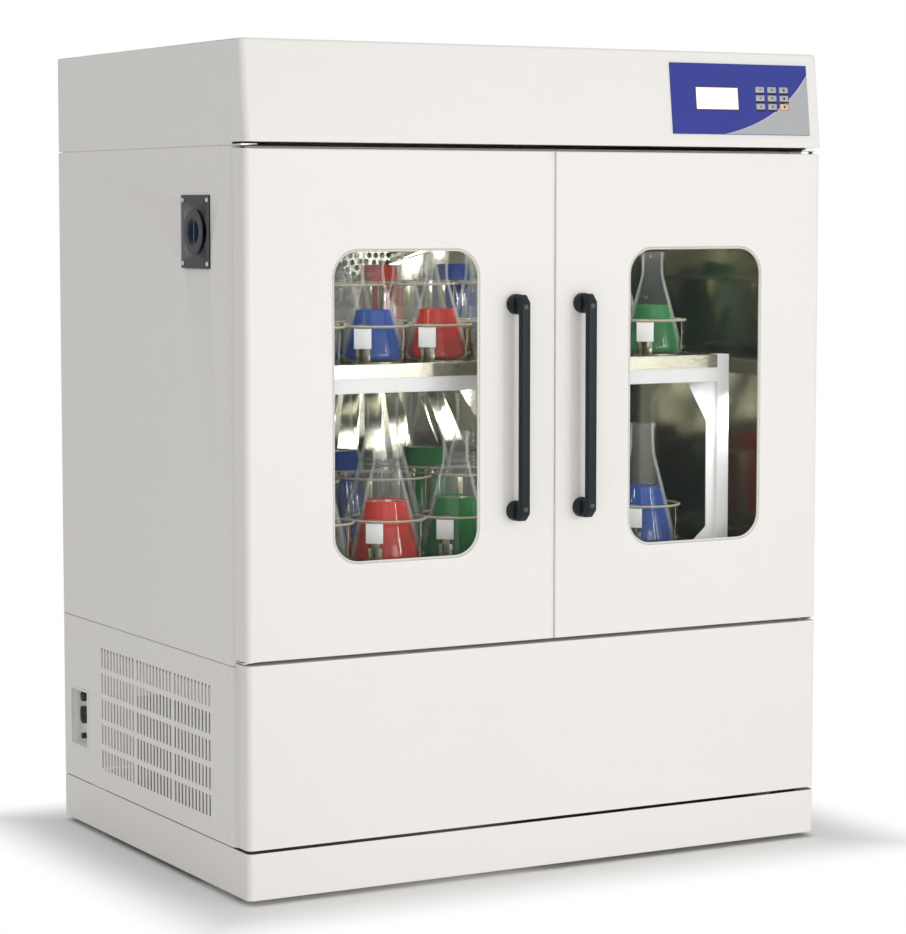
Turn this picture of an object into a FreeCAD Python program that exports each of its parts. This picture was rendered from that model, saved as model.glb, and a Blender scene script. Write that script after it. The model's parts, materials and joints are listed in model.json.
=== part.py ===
import FreeCAD, Part
import math
import os

# Floor-standing incubated orbital shaker with two glazed doors, in millimetres.
# Pieces are placed by their distance from the left side, from the doors' front
# plane and from the skirt's bottom edge, and moved to the part's frame at the end.

V = FreeCAD.Vector
ACROSS = (1, 0, 0)
INWARDS = (0, 1, 0)
UP = (0, 0, 1)

# Cabinet
cabinet_width = 1253.0
cabinet_depth = 888.0
cabinet_height = 1550.0
skirt_lift = 10.0
sheet = 1.6
fit_gap = 0.3
running_gap = 0.05
overrun = 5.0
front_corner_radius = 13.0
side_bend_radius = 20.0
side_return_width = 40.0
seam = 2.0
wall_thickness = 60.0
slant_share = 0.2

# Levels of the front, from the skirt upwards
plinth_height = 86.0
plinth_joint = 6.0
lower_panel_height = 336.5
door_gap_below = 7.0
header_gap = 12.0
header_height = 183.0
service_panel_drop = 8.5
header_side_drop = 5.0
header_proud = 4.0
header_lean = 22.0
header_edge_radius = 6.0
header_lip_height = 15.0

# Doors, windows and handles
door_thickness = 49.0
door_face_gap = 3.0
door_split_offset = 14.5
door_split_width = 6.0
left_window_share = 0.5234
right_window_share = 0.5355
window_width = 305.0
window_height = 572.5
window_level_share = 0.48
window_corner_radius = 52.0
window_rim_depth = 5.0
core_window_margin = 30.0
pane_thickness = 4.0
pane_lap = 9.0
inner_pane_inset = 5.0
seal_width = 14.0
seal_inset = 14.0
centre_seal_front = 5.0
centre_seal_back = 40.0
centre_seal_free_gap = 0.8
left_handle_inset = 83.0
right_handle_inset = 56.5
handle_span = 387.0
handle_level_share = 0.4804
handle_width = 18.0
handle_thickness = 15.0
handle_reach = 42.0
handle_foot_diameter = 38.0
handle_foot_depth = 16.0
handle_slope = 30.0
handle_edge_radius = 6.0
hinge_inset = 8.0
hinge_depth = 25.0
hinge_pin_radius = 4.0
hinge_pin_length = 20.0
hinge_plate = 3.0
hinge_plate_width = 32.0
hinge_plate_back = 100.0
hinge_tab_drop = 28.0

# Control panel on the header, measured along its leaning face
panel_right_margin = 31.0
panel_width = 319.0
panel_bottom = 24.0
panel_height = 137.0
panel_thickness = 2.5
display_left = 55.0
display_bottom = 46.5
display_width = 101.0
display_height = 46.0
display_thickness = 2.0
key_columns = 3
key_rows = 3
key_pitch_across = 28.0
key_pitch_up = 16.4
key_first_left = 206.0
key_first_bottom = 55.1
key_width = 21.0
key_height = 12.0
key_proud = 0.9
key_travel = 0.8
panel_recess_margin = 12.0
board_depth = 8.0
board_thickness = 1.6
relay_box_depth = 60.0
relay_box_width = 180.0
relay_box_height = 80.0
standoff_radius = 3.0

# Grille in the service panels
slot_width = 7.5
slot_height = 40.0
slot_pitch = 15.8
slots_per_group = 11
slot_groups = 3
slot_land = 15.2
slot_rows = 5
slot_row_pitch = 51.5
slot_drop = 47.0
slot_front = 163.0
slot_margin = 14.0

# Power pocket on the left side
pocket_back_margin = 38.0
pocket_length = 88.0
pocket_bottom = 156.0
pocket_height = 117.0
pocket_depth = 22.0
pocket_wall = 2.0
pocket_lip = 3.0
fittings_inset = 24.0
inlet_width = 28.0
inlet_height = 36.0
inlet_depth = 6.0
inlet_recess = 4.5
inlet_pin_radius = 1.6
inlet_pin_pitch = 8.0
inlet_round_share = 0.9
fuse_radius = 6.0
fuse_depth = 8.0
rocker_radius = 8.0
rocker_depth = 7.0
rocker_tilt_angle = 8.0
rocker_pivot_radius = 1.5
rocker_bezel_wall = 1.5
rocker_level_share = 0.833
inlet_level_share = 0.513
fuse_level_share = 0.142

# Access port on the left side
port_front = 147.0
port_plate_width = 126.0
port_roof_gap = 37.0
port_plate_height = 134.0
port_plate_thickness = 2.0
port_ring_height = 6.0
port_ring_radius = 42.5
port_bore_radius = 25.0
port_plug_inset = 1.0
plug_wall = 3.2
plug_hollow = 15.0
screw_head_radius = 4.0
screw_head_height = 2.0
screw_shank_radius = 2.0
screw_length = 6.0
screw_inset = 9.0
panel_screw_inset = 14.0
panel_screw_drop = 22.0

# Chamber
chamber_lift = 66.0
chamber_roof_drop = 45.0
chamber_back_wall = 62.0
duct_depth = 69.0
duct_side_gap = 60.0
duct_floor_gap = 48.0
duct_roof_gap = 20.0
duct_slot_width = 60.0
duct_slot_height = 8.0
duct_slot_pitch = 80.0
duct_slot_rows = 5
duct_slot_row_pitch = 20.0
duct_slot_margin = 30.0
fan_drop = 140.0
fan_radius = 75.0
fan_hub_radius = 20.0
fan_blade_count = 6
fan_blade_thickness = 2.0
fan_blade_angle = 35.0
fan_depth = 26.0
fan_shaft_radius = 5.0
fan_shaft_length = 16.0
fan_grille_hole = 6.0
fan_grille_ring_count = 4
fan_grille_first_count = 6
fan_motor_radius = 35.0
fan_motor_gap = 5.0
duct_fan_gap = 5.0
evaporator_width = 500.0
evaporator_height = 240.0
evaporator_level_share = 0.7273
evaporator_depth = 50.0
heater_ring_radius = 110.0
heater_rod_radius = 5.0
heater_foot_radius = 4.0

# Base frame and machine
tube = 35.0
tube_wall = 2.5
frame_side_inset = 8.0
frame_bottom = 6.0
deck_drop = 22.5
deck_thickness = 6.0
rail_front = 240.0
rail_back = 600.0
foot_radius = 18.0
foot_pad = 8.0
foot_stem_radius = 6.0
foot_stem_length = 30.0
foot_inset = 120.0
pad_thickness = 30.0
pad_lift = 48.0
pad_drop = 68.5

# Orbital drive: one driven crank and two idlers in a triangle
orbit_radius = 13.0
drive_inset = 165.0
idler_inset = 200.0
idler_side_inset = 179.5
shaft_radius = 20.0
housing_radius = 38.0
housing_flange_radius = 60.0
housing_flange = 8.0
housing_drop = 106.0
housing_proud = 12.0
crank_disc_radius = 46.0
crank_collar = 8.0
crank_disc_thickness = 14.0
crank_pin_radius = 14.0
crank_pin_length = 34.0
crank_weight_radius = 90.0
crank_weight_half_angle = 60.0
hub_radius = 28.0
idler_bore_gap = 0.5
pulley_drop = 74.0
pulley_thickness = 30.0
pulley_flange = 4.0
drive_pulley_radius = 100.0
motor_pulley_radius = 35.0
motor_offset = 260.0
motor_radius = 55.0
motor_lift = 6.0
motor_shaft_radius = 9.0
motor_flange_radius = 70.0
belt_thickness = 4.0
belt_gap = 0.3

# Platform with two trays
tray_pin_room = 34.0
tray_edge = 26.0
tray_sheet = 2.0
rack_side_gap = 87.0
rack_front = 100.0
rack_duct_gap = 32.0
rack_tube = 28.0
upper_tray_share = 0.5232
gusset_plate = 3.0
gusset_width = 62.0
gusset_neck = 16.0
gusset_height = 80.0

# Condensing unit
unit_plate = 4.0
condenser_left = 40.0
condenser_width = 55.0
condenser_front = 240.0
condenser_length = 360.0
condenser_height = 240.0
condenser_fan_radius = 95.0
condenser_fan_gap = 6.0
condenser_motor_length = 55.0
compressor_left = 400.0
compressor_depth = 380.0
compressor_radius = 75.0
compressor_height = 190.0
compressor_plate_share = 1.2
bracket_width = 20.0

# Flasks: body diameters, and heights as shares of the clear height over their tray
flask_wall = 2.5
flask_base_round = 8.0
small_flask = 121.0
small_flask_height_share = 0.5714
lower_flask = 140.0
lower_flask_height_share = 0.7364
large_flask = 152.0
large_flask_height_share = 0.8143
tall_flask = 180.0
tall_flask_height_share = 0.909
neck_share = 0.35
neck_height_share = 0.22
lip_share = 0.04
small_fill_share = 0.48
large_fill_share = 0.60
clamp_sheet = 1.5
clamp_finger_width = 18.0
clamp_finger_count = 4
clamp_ring_radius = 1.6
clamp_turn_angle = 45.0
clamp_tip = 4.5
small_clamp_share = 0.36
large_clamp_share = 0.50

# Gap before each row of flasks, from the doors inwards, as a share of its diameter
upper_gap_shares = (0.2025, 0.1322, 0.0888, 0.0921)
lower_gap_shares = (0.2143, 0.1667, 0.1111)

# Places of the flasks along a tray, as shares of the space between the posts
upper_small_shares = (0.0471, 0.1961, 0.3480, 0.5286, 0.7091, 0.8896)
upper_large_shares = (0.0971, 0.2858, 0.4745, 0.6632, 0.8519)
lower_front_shares = (0.0635, 0.2348, 0.4031, 0.6397, 0.8753)
lower_large_shares = (0.1124, 0.3368, 0.5612, 0.7856)

# Levels of the outside, worked out from the sizes above
lower_panel_bottom = plinth_height + plinth_joint
lower_panel_top = lower_panel_bottom + lower_panel_height
door_bottom = lower_panel_top + door_gap_below
header_bottom = cabinet_height - header_height
door_top = header_bottom - header_gap
door_height = door_top - door_bottom
header_side_bottom = header_bottom - header_side_drop
side_panel_top = header_side_bottom - seam
service_panel_top = lower_panel_top - service_panel_drop
upper_panel_bottom = service_panel_top + seam
service_panel_bottom = plinth_height + seam
slot_top = service_panel_top - slot_drop
window_bottom = door_bottom + (door_height - window_height) * window_level_share
handle_middle = door_bottom + door_height * handle_level_share
lean_angle = math.degrees(math.atan(header_lean / header_height))

# Depths and lefts of the outside
face_depth = door_thickness + door_face_gap
back_plane = cabinet_depth - sheet
foam_inset = sheet + fit_gap
door_split_left = cabinet_width / 2 + door_split_offset
panel_left = cabinet_width - panel_right_margin - panel_width
pocket_front = cabinet_depth - pocket_back_margin - pocket_length
fittings_depth = pocket_front + pocket_length - fittings_inset
pane_front = window_rim_depth
inner_pane_front = door_thickness - inner_pane_inset - pane_thickness
overall_depth = cabinet_depth + handle_reach

# Chamber and its duct
deck_top = lower_panel_top - deck_drop
chamber_floor = deck_top + chamber_lift
chamber_roof = door_top - chamber_roof_drop
chamber_back = cabinet_depth - chamber_back_wall
foam_roof = side_panel_top - seam
port_bottom = chamber_roof - port_roof_gap - port_plate_height
duct_front = chamber_back - duct_depth
duct_bottom = chamber_floor + duct_floor_gap
duct_top = chamber_roof - duct_roof_gap
fan_level = duct_top - fan_drop
coil_room = fan_level - heater_ring_radius - heater_rod_radius - duct_bottom
evaporator_bottom = duct_bottom + (coil_room - evaporator_height) * evaporator_level_share

# Drive, platform and rack
housing_bottom = deck_top - housing_drop
housing_top = chamber_floor + housing_proud
crank_disc_bottom = housing_top + crank_collar
crank_disc_top = crank_disc_bottom + crank_disc_thickness
crank_pin_top = crank_disc_top + crank_pin_length
hub_bottom = crank_disc_top + fit_gap
pulley_bottom = housing_bottom - pulley_drop
motor_bottom = pulley_bottom + pulley_thickness + motor_lift
tray_top = crank_pin_top + tray_pin_room + tray_sheet
upper_tray_top = tray_top + (chamber_roof - tray_top) * upper_tray_share
beam_top = upper_tray_top - tray_edge
beam_bottom = beam_top - rack_tube
rack_left = wall_thickness + rack_side_gap
rack_right = cabinet_width - rack_left
rack_back = duct_front - rack_duct_gap
crank_left = cabinet_width / 2
motor_left = crank_left + motor_offset
drive_depth = rack_back - drive_inset
idler_depth = rack_front + idler_inset
idler_spread = crank_left - rack_left - idler_side_inset


def block(left, right, front, back, bottom, top):
    """Box between two lefts, two depths and two levels."""
    return Part.makeBox(right - left, back - front, top - bottom, V(left, front, bottom))


def rod(radius, length, at, axis):
    """Round bar that starts at a point and runs along an axis."""
    return Part.makeCylinder(radius, length, V(*at), V(*axis))


def upright(radius, left, depth, bottom, top):
    return rod(radius, top - bottom, (left, depth, bottom), UP)


def joined(pieces):
    whole = pieces[0].fuse(pieces[1:])
    return whole.removeSplitter()


def group(pieces):
    return Part.makeCompound(pieces)


def apart(shapes):
    """Butted pieces of one part, each a solid of its own."""
    return group([solid for shape in shapes for solid in shape.Solids])


def parallel_edges(shape, direction, picks):
    """Straight edges along a direction whose middle passes the test."""
    found = []
    for edge in shape.Edges:
        first, last = edge.Vertexes[0].Point, edge.Vertexes[-1].Point
        run = last.sub(first)
        if run.Length == 0:
            continue
        across = run.cross(V(*direction)).Length / run.Length
        if across < slant_share and picks(edge.CenterOfMass):
            found.append(edge)
    return found


def round_edges(shape, radius, direction, picks):
    return shape.makeFillet(radius, parallel_edges(shape, direction, picks))


def rounded_plate(left, right, bottom, top, corner, front, back):
    """Upright plate with rounded corners in the plane of the doors."""
    plate = block(left, right, front, back, bottom, top)
    return round_edges(plate, corner, INWARDS, lambda c: True)


def save(name, shape):
    """Move a piece from cabinet distances to the part's frame and write it."""
    middle = (cabinet_width + screw_head_height - port_ring_height) / 2
    shift = V(-middle, handle_reach - overall_depth / 2, skirt_lift)
    shape.translate(shift)
    shape.exportStep("parts/" + name + ".step")


# Cabinet shell

def box_tube(left, right, front, back, bottom, top, along):
    """Square steel tube, open at both ends of one axis."""
    low = [left, front, bottom]
    high = [right, back, top]
    for axis in range(3):
        step = -overrun if axis == along else tube_wall
        low[axis] += step
        high[axis] -= step
    core = block(low[0], high[0], low[1], high[1], low[2], high[2])
    return block(left, right, front, back, bottom, top).cut(core)


def cabinet_inside(bottom, top):
    """Space inside the outer sheets, rounded where the side sheets bend."""
    inset = foam_inset
    front = face_depth + inset
    body = block(inset, cabinet_width - inset, front, back_plane - fit_gap, bottom, top)
    return round_edges(body, side_bend_radius - inset, UP, lambda c: c.y < front + fit_gap)


def base_frame():
    """Machine base: two rings of tube, posts, rails and the deck plate, butted and welded."""
    left, right = frame_side_inset, cabinet_width - frame_side_inset
    front, back = face_depth + foam_inset, back_plane - fit_gap
    deck_bottom = deck_top - deck_thickness
    pieces = []
    for bottom in (frame_bottom, deck_bottom - tube):
        top = bottom + tube
        for edge in (front, back - tube):
            pieces.append(box_tube(left, right, edge, edge + tube, bottom, top, 0))
        for edge in (left, right - tube):
            pieces.append(box_tube(edge, edge + tube, front + tube, back - tube, bottom, top, 1))
    for edge in (left, right - tube):
        for depth in (front, back - tube):
            low, high = frame_bottom + tube, deck_bottom - tube
            pieces.append(box_tube(edge, edge + tube, depth, depth + tube, low, high, 2))
    for depth in (rail_front, rail_back):
        top = frame_bottom + tube
        pieces.append(box_tube(left + tube, right - tube, depth, depth + tube, frame_bottom, top, 0))
    pieces.append(block(left, right, front, back, deck_bottom, deck_top))
    inside = cabinet_inside(frame_bottom, deck_top)
    cutters = []
    for left, depth in foot_spots():
        cutters.append(upright(foot_stem_radius + fit_gap, left, depth, 0, frame_bottom + tube + overrun))
    for left, depth in crank_spots():
        cutters.append(upright(housing_radius + fit_gap, left, depth, deck_bottom - tube, deck_top + overrun))
    return apart([piece.common(inside).cut(cutters) for piece in pieces])


def foot_spots():
    """Two feet under each end of the frame and one under each long tube's middle."""
    lefts = (foot_inset, cabinet_width / 2, cabinet_width - foot_inset)
    depths = (face_depth + foam_inset + tube / 2, back_plane - fit_gap - tube / 2)
    return [(left, depth) for left in lefts for depth in depths]


def levelling_feet():
    feet = []
    for left, depth in foot_spots():
        pad = upright(foot_radius, left, depth, -skirt_lift, foot_pad - skirt_lift)
        stem = upright(foot_stem_radius, left, depth, foot_pad - skirt_lift, foot_stem_length)
        nut = upright(foot_stem_radius * 2, left, depth, 0, frame_bottom)
        feet.append(joined([pad, stem, nut]))
    return group(feet)


def plinth():
    """Skirt round the base, open above and below."""
    def ring(inset):
        body = block(inset, cabinet_width - inset, inset, cabinet_depth - inset, 0, plinth_height)
        return round_edges(body, front_corner_radius - inset, UP, lambda c: c.y < cabinet_depth / 2)
    core = ring(sheet)
    tall = core.copy()
    tall.translate(V(0, 0, plinth_height / 2))
    low = core.copy()
    low.translate(V(0, 0, -plinth_height / 2))
    return ring(0).cut([tall, low])


def lower_front_panel():
    """Pan that closes the machine space, with pads that bear on the frame."""
    def pan(inset, back):
        body = block(inset, cabinet_width - inset, inset, back,
                     lower_panel_bottom + inset, lower_panel_top - inset)
        return round_edges(body, front_corner_radius - inset, UP, lambda c: c.y < front_corner_radius)
    shell = pan(0, door_thickness).cut(pan(sheet, door_thickness + overrun))
    pieces = [shell]
    for left in (sheet, cabinet_width - sheet - side_return_width):
        right = left + side_return_width
        pieces.append(block(left, right, door_thickness - sheet, door_thickness,
                            lower_panel_bottom + sheet, lower_panel_top - sheet))
        for level in (lower_panel_bottom + pad_lift, lower_panel_top - pad_drop):
            inner = (left + right) / 2
            pieces.append(block(inner - pad_thickness / 2, inner + pad_thickness / 2,
                                door_thickness - sheet, face_depth, level, level + pad_thickness))
    return joined(pieces)


def slot_places():
    """Fronts of the slots in one row of the grille, as far back as the pocket allows."""
    group_length = (slots_per_group - 1) * slot_pitch + slot_width
    end = pocket_front - pocket_lip - slot_margin
    places = []
    for number in range(slot_groups):
        start = slot_front + number * (group_length + slot_land)
        for slot in range(slots_per_group):
            front = start + slot * slot_pitch
            if front + slot_width < end:
                places.append(front)
    return places


def slot_row_tops():
    """Tops of the grille's rows, as many as the panel has room for."""
    tops = [slot_top - row * slot_row_pitch for row in range(slot_rows)]
    return [top for top in tops if top - slot_height > service_panel_bottom + slot_margin]


def grille_cutters():
    cutters = []
    for top in slot_row_tops():
        for front in slot_places():
            cutters.append(block(-overrun, sheet + overrun, front, front + slot_width,
                                 top - slot_height, top))
    return cutters


def side_sheet(bottom, top):
    """Left side sheet with its rounded bend and front return."""
    def plan(inset):
        body = block(inset, side_return_width + inset, face_depth + inset, back_plane + inset, bottom, top)
        bend = face_depth + sheet * 2
        return round_edges(body, side_bend_radius - inset, UP, lambda c: c.x < sheet * 2 and c.y < bend)
    inner = plan(sheet)
    tall = inner.copy()
    tall.translate(V(0, 0, sheet))
    inner.translate(V(0, 0, -sheet))
    outer = plan(0)
    outer = outer.cut(inner.fuse(tall))
    tail = block(sheet, side_return_width + overrun, back_plane - overrun, back_plane + overrun, bottom, top)
    return outer.cut(tail)


def to_right(shape):
    """The same piece mirrored to the right side."""
    return shape.mirror(V(cabinet_width / 2, 0, 0), V(*ACROSS))


def left_side_panel():
    panel = side_sheet(upper_panel_bottom, side_panel_top)
    left, depth, level = port_centre()
    panel = panel.cut(rod(port_bore_radius, sheet + overrun * 2, (-overrun, depth, level), ACROSS))
    return panel.cut([screw_hole(spot) for spot in port_screw_spots()])


def right_side_panel():
    return to_right(side_sheet(upper_panel_bottom, side_panel_top))


def service_panel():
    panel = side_sheet(service_panel_bottom, service_panel_top)
    panel = panel.cut(group(grille_cutters()))
    return panel.cut([screw_hole(spot) for spot in service_screw_spots()])


def left_service_panel():
    hole = block(-overrun, overrun, pocket_front, pocket_front + pocket_length,
                 pocket_bottom, pocket_bottom + pocket_height)
    return service_panel().cut(hole)


def right_service_panel():
    return to_right(service_panel())


def back_panel():
    """Rear sheet with the same grille pattern low down."""
    panel = block(0, cabinet_width, back_plane, cabinet_depth, service_panel_bottom, side_panel_top)
    cutters = []
    places = slot_places()
    first = (cabinet_width - places[0] - places[-1] - slot_width) / 2
    for top in slot_row_tops():
        for place in places:
            left = first + place
            cutters.append(block(left, left + slot_width, back_plane - overrun, cabinet_depth + overrun,
                                 top - slot_height, top))
    return panel.cut(group(cutters))


def header_body(inset):
    """Header hood as a solid, every wall moved inwards by an inset."""
    low_front = -header_proud
    slope = header_lean / header_height
    bottom = header_bottom + inset
    top = cabinet_height - inset
    shift = inset / math.cos(math.radians(lean_angle))
    drop = header_side_bottom - (overrun if inset else 0)
    back = cabinet_depth - inset
    corners = [
        V(inset, low_front + shift + (bottom - header_bottom) * slope, bottom),
        V(inset, low_front + shift + (top - header_bottom) * slope, top),
        V(inset, back, top),
        V(inset, back, drop),
        V(inset, face_depth, drop),
        V(inset, face_depth, bottom),
    ]
    face = Part.Face(Part.makePolygon(corners + corners[:1]))
    body = face.extrude(V(cabinet_width - inset * 2, 0, 0))
    return round_edges(body, front_corner_radius - inset, UP, lambda c: c.y < face_depth - sheet)


def header_cover():
    hood = header_body(0)
    hood = round_edges(hood, header_edge_radius, ACROSS,
                       lambda c: c.z > cabinet_height - fit_gap and c.y < cabinet_depth / 2)
    hood = hood.cut(header_body(sheet))
    margin = panel_recess_margin
    recess = block(panel_left + margin, panel_left + panel_width - margin, -overrun, sheet + overrun,
                   panel_bottom + margin, panel_bottom + panel_height - margin)
    hood = hood.cut(on_header(recess))
    return joined([hood] + header_lips())


def header_lips():
    """Strips inside the hood's sides that slip behind the side panels' top edge."""
    lips = []
    front, back = hinge_plate_back + overrun, back_plane - header_lip_height
    for bottom, left in ((foam_roof + fit_gap, foam_inset), (header_side_bottom, sheet)):
        top = header_side_bottom + (header_lip_height if left == sheet else 0)
        strip = block(left, foam_inset + sheet, front, back, bottom, top)
        lips += [strip, to_right(strip)]
    return lips


def on_header(shape):
    """Turn a piece built upright so that it lies on the leaning header face."""
    shape.rotate(V(0, 0, 0), V(*ACROSS), -lean_angle)
    shape.translate(V(0, -header_proud, header_bottom))
    return shape


def hinge_corner(left_side, top_side):
    """One hinge bracket with its pin, over or under a door."""
    if top_side:
        bottom = side_panel_top + fit_gap
        plate = block(sheet + fit_gap, sheet + hinge_plate_width, hinge_depth - hinge_inset,
                      hinge_plate_back, bottom, bottom + hinge_plate)
        pin = upright(hinge_pin_radius, hinge_inset, hinge_depth, door_top - hinge_pin_length, bottom)
        bracket = joined([plate, pin])
    else:
        bottom = (lower_panel_top + door_bottom - hinge_plate) / 2
        front_wall = face_depth - sheet
        plate = block(sheet + fit_gap, sheet + hinge_plate_width, hinge_depth - hinge_inset,
                      face_depth, bottom, bottom + hinge_plate)
        tab = block(sheet + fit_gap, sheet + hinge_plate_width, front_wall, face_depth,
                    bottom - hinge_tab_drop, bottom)
        pin = upright(hinge_pin_radius, hinge_inset, hinge_depth, bottom + hinge_plate,
                      door_bottom + hinge_pin_length)
        bracket = joined([plate, tab, pin])
    return bracket if left_side else to_right(bracket)


def hinge_brackets():
    return group([hinge_corner(side, level) for side in (True, False) for level in (True, False)])


# Doors

def door_span(left_side):
    half_split = door_split_width / 2
    if left_side:
        return 0, door_split_left - half_split
    return door_split_left + half_split, cabinet_width


def window_left(left_side):
    left, right = door_span(left_side)
    share = left_window_share if left_side else right_window_share
    return left + (right - left - window_width) * share


def handle_left(left_side):
    left, right = door_span(left_side)
    return right - left_handle_inset if left_side else left + right_handle_inset


def window_solid(left_side, margin, front, back):
    """The window's outline, grown by a margin, between two depths."""
    left = window_left(left_side) - margin
    right = window_left(left_side) + window_width + margin
    return rounded_plate(left, right, window_bottom - margin, window_bottom + window_height + margin,
                         window_corner_radius + margin, front, back)


def door_body(left_side, inset, front, back):
    left, right = door_span(left_side)
    body = block(left + inset, right - inset, front, back, door_bottom + inset, door_top - inset)
    hinge_side = left if left_side else right

    def outer(c):
        return abs(c.x - hinge_side) < front_corner_radius and c.y < front + front_corner_radius
    return round_edges(body, front_corner_radius - inset, UP, outer)


def hinge_bores(left_side):
    left = hinge_inset if left_side else cabinet_width - hinge_inset
    radius = hinge_pin_radius + running_gap
    depth = hinge_pin_length + fit_gap
    return [upright(radius, left, hinge_depth, door_bottom - overrun, door_bottom + depth),
            upright(radius, left, hinge_depth, door_top - depth, door_top + overrun)]


def door_shell(left_side):
    """Outer sheet of a door: a pan with a rim turned in round the window."""
    shell = door_body(left_side, 0, 0, door_thickness)
    shell = shell.cut(door_body(left_side, sheet, sheet, door_thickness + overrun))
    rim = window_solid(left_side, sheet, 0, window_rim_depth)
    shell = joined([shell, rim])
    shell = shell.cut(window_solid(left_side, 0, -overrun, door_thickness))
    return shell.cut(hinge_bores(left_side))


def door_core(left_side):
    """Foamed inner door, open wider than the sheet's window, with rebates for both panes."""
    inset = sheet + fit_gap
    core = door_body(left_side, inset, inset, door_thickness)
    lap = core_window_margin + pane_lap + fit_gap
    core = core.cut(window_solid(left_side, core_window_margin, 0, door_thickness + overrun))
    core = core.cut(window_solid(left_side, lap, 0, pane_front + pane_thickness))
    core = core.cut(window_solid(left_side, lap, inner_pane_front, door_thickness + overrun))
    return core.cut(hinge_bores(left_side))


def window_panes(left_side):
    lap = core_window_margin + pane_lap
    outer = window_solid(left_side, lap, pane_front, pane_front + pane_thickness)
    inner = window_solid(left_side, lap, inner_pane_front, inner_pane_front + pane_thickness)
    return group([outer, inner])


def door_seal(left_side):
    """Magnetic gasket on the back of a door, and the strip in the split."""
    left, right = door_span(left_side)
    front, back = door_thickness, face_depth - fit_gap

    def ring(inset):
        return block(left + inset, right - inset, front, back, door_bottom + inset, door_top - inset)
    seal = ring(seal_inset).cut(ring(seal_inset + seal_width))
    if not left_side:
        return seal
    strip = block(right, right + door_split_width - centre_seal_free_gap, centre_seal_front, centre_seal_back,
                  door_bottom, door_top)
    return group([seal, strip])


def handle(left):
    """Pull bar whose ends slope down into round feet on the door."""
    low, high = handle_middle - handle_span / 2, handle_middle + handle_span / 2
    half_foot = handle_foot_diameter / 2
    inner = handle_reach - handle_thickness
    bar_low, bar_high = low - half_foot + handle_slope / 2, high + half_foot - handle_slope / 2
    outline = [
        V(0, 0, low - half_foot / 2),
        V(0, -inner, low - half_foot),
        V(0, -handle_reach, bar_low),
        V(0, -handle_reach, bar_high),
        V(0, -inner, high + half_foot),
        V(0, 0, high + half_foot / 2),
        V(0, 0, high - half_foot / 2),
        V(0, -inner, high - half_foot),
        V(0, -inner, low + half_foot),
        V(0, 0, low + half_foot / 2),
    ]
    face = Part.Face(Part.makePolygon(outline + outline[:1]))
    bar = face.extrude(V(handle_width, 0, 0))
    bar = round_edges(bar, handle_edge_radius, UP, lambda c: c.y < -inner + fit_gap)
    bar.translate(V(left - handle_width / 2, 0, 0))
    feet = [rod(half_foot, handle_foot_depth, (left, -handle_foot_depth, level), INWARDS)
            for level in (low, high)]
    return joined([bar] + feet)


# Control panel

def panel_block(middle, level, width, height, front, back):
    """Box about a point on the header face, between two depths."""
    return block(middle - width / 2, middle + width / 2, front, back, level - height / 2, level + height / 2)


def key_places():
    """Middle of every key on the header face, row by row from the top left."""
    places = []
    for row in range(key_rows):
        for column in range(key_columns):
            middle = panel_left + key_first_left + column * key_pitch_across
            level = panel_bottom + key_first_bottom + (key_rows - 1 - row) * key_pitch_up
            places.append((middle, level))
    return places


def control_overlay():
    plate = block(panel_left, panel_left + panel_width, -panel_thickness, 0,
                  panel_bottom, panel_bottom + panel_height)
    gap = fit_gap * 2
    front = -panel_thickness - overrun
    middle, level = display_centre()
    cutters = [panel_block(middle, level, display_width + gap, display_height + gap, front, overrun)]
    for middle, level in key_places():
        cutters.append(panel_block(middle, level, key_width + gap, key_height + gap, front, overrun))
    return on_header(plate.cut(cutters))


def display_centre():
    return panel_left + display_left + display_width / 2, panel_bottom + display_bottom + display_height / 2


def display_window():
    middle, level = display_centre()
    return on_header(panel_block(middle, level, display_width, display_height, -display_thickness, 0))


def key(number):
    middle, level = key_places()[number]
    return on_header(panel_block(middle, level, key_width, key_height, -panel_thickness - key_proud, 0))


def control_board():
    """Keypad board behind the keys, the main board and a relay box, on standoffs."""
    margin = panel_recess_margin + fit_gap
    left, right = panel_left + margin, panel_left + panel_width - margin
    bottom, top = panel_bottom + margin, panel_bottom + panel_height - margin
    key_left, key_bottom = key_places()[-key_columns]
    pad_front = key_travel + fit_gap
    pad = block(key_left - key_pitch_across / 2, key_left + key_pitch_across * (key_columns - 0.5),
                pad_front, pad_front + board_thickness,
                key_bottom - key_pitch_up / 2, key_bottom + key_pitch_up * (key_rows - 0.5))
    board_back = board_depth + board_thickness
    board = block(left - margin, right + margin, board_depth, board_back, bottom - margin, top + margin)
    pieces = [board, pad]

    def standoff(x, front, z):
        pieces.append(rod(standoff_radius, board_depth - front, (x, front, z), INWARDS))
    for x in (key_left, key_left + key_pitch_across * (key_columns - 1)):
        standoff(x, pad_front, key_bottom + key_pitch_up)
    display_middle, display_level = display_centre()
    for x in (display_middle - display_width / 4, display_middle + display_width / 4):
        standoff(x, 0, display_level)
    for x in (left - margin / 2, right + margin / 2):
        for z in (bottom - margin / 2, top + margin / 2):
            standoff(x, sheet, z)
    pieces.append(panel_block((left + right) / 2, (bottom + top) / 2, relay_box_width, relay_box_height,
                              board_back, board_back + relay_box_depth))
    return on_header(joined(pieces))


# Left side fittings

def port_centre():
    return 0, port_front + port_plate_width / 2, port_bottom + port_plate_height / 2


def port_screw_spots():
    fronts = (port_front + screw_inset, port_front + port_plate_width - screw_inset)
    levels = (port_bottom + screw_inset, port_bottom + port_plate_height - screw_inset)
    return [(-port_plate_thickness, front, level) for front in fronts for level in levels]


def service_screw_spots():
    fronts = (face_depth + side_bend_radius + panel_screw_inset, back_plane - panel_screw_inset)
    levels = (service_panel_bottom + panel_screw_inset, service_panel_top - panel_screw_drop)
    return [(0, front, level) for front in fronts for level in levels]


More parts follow.
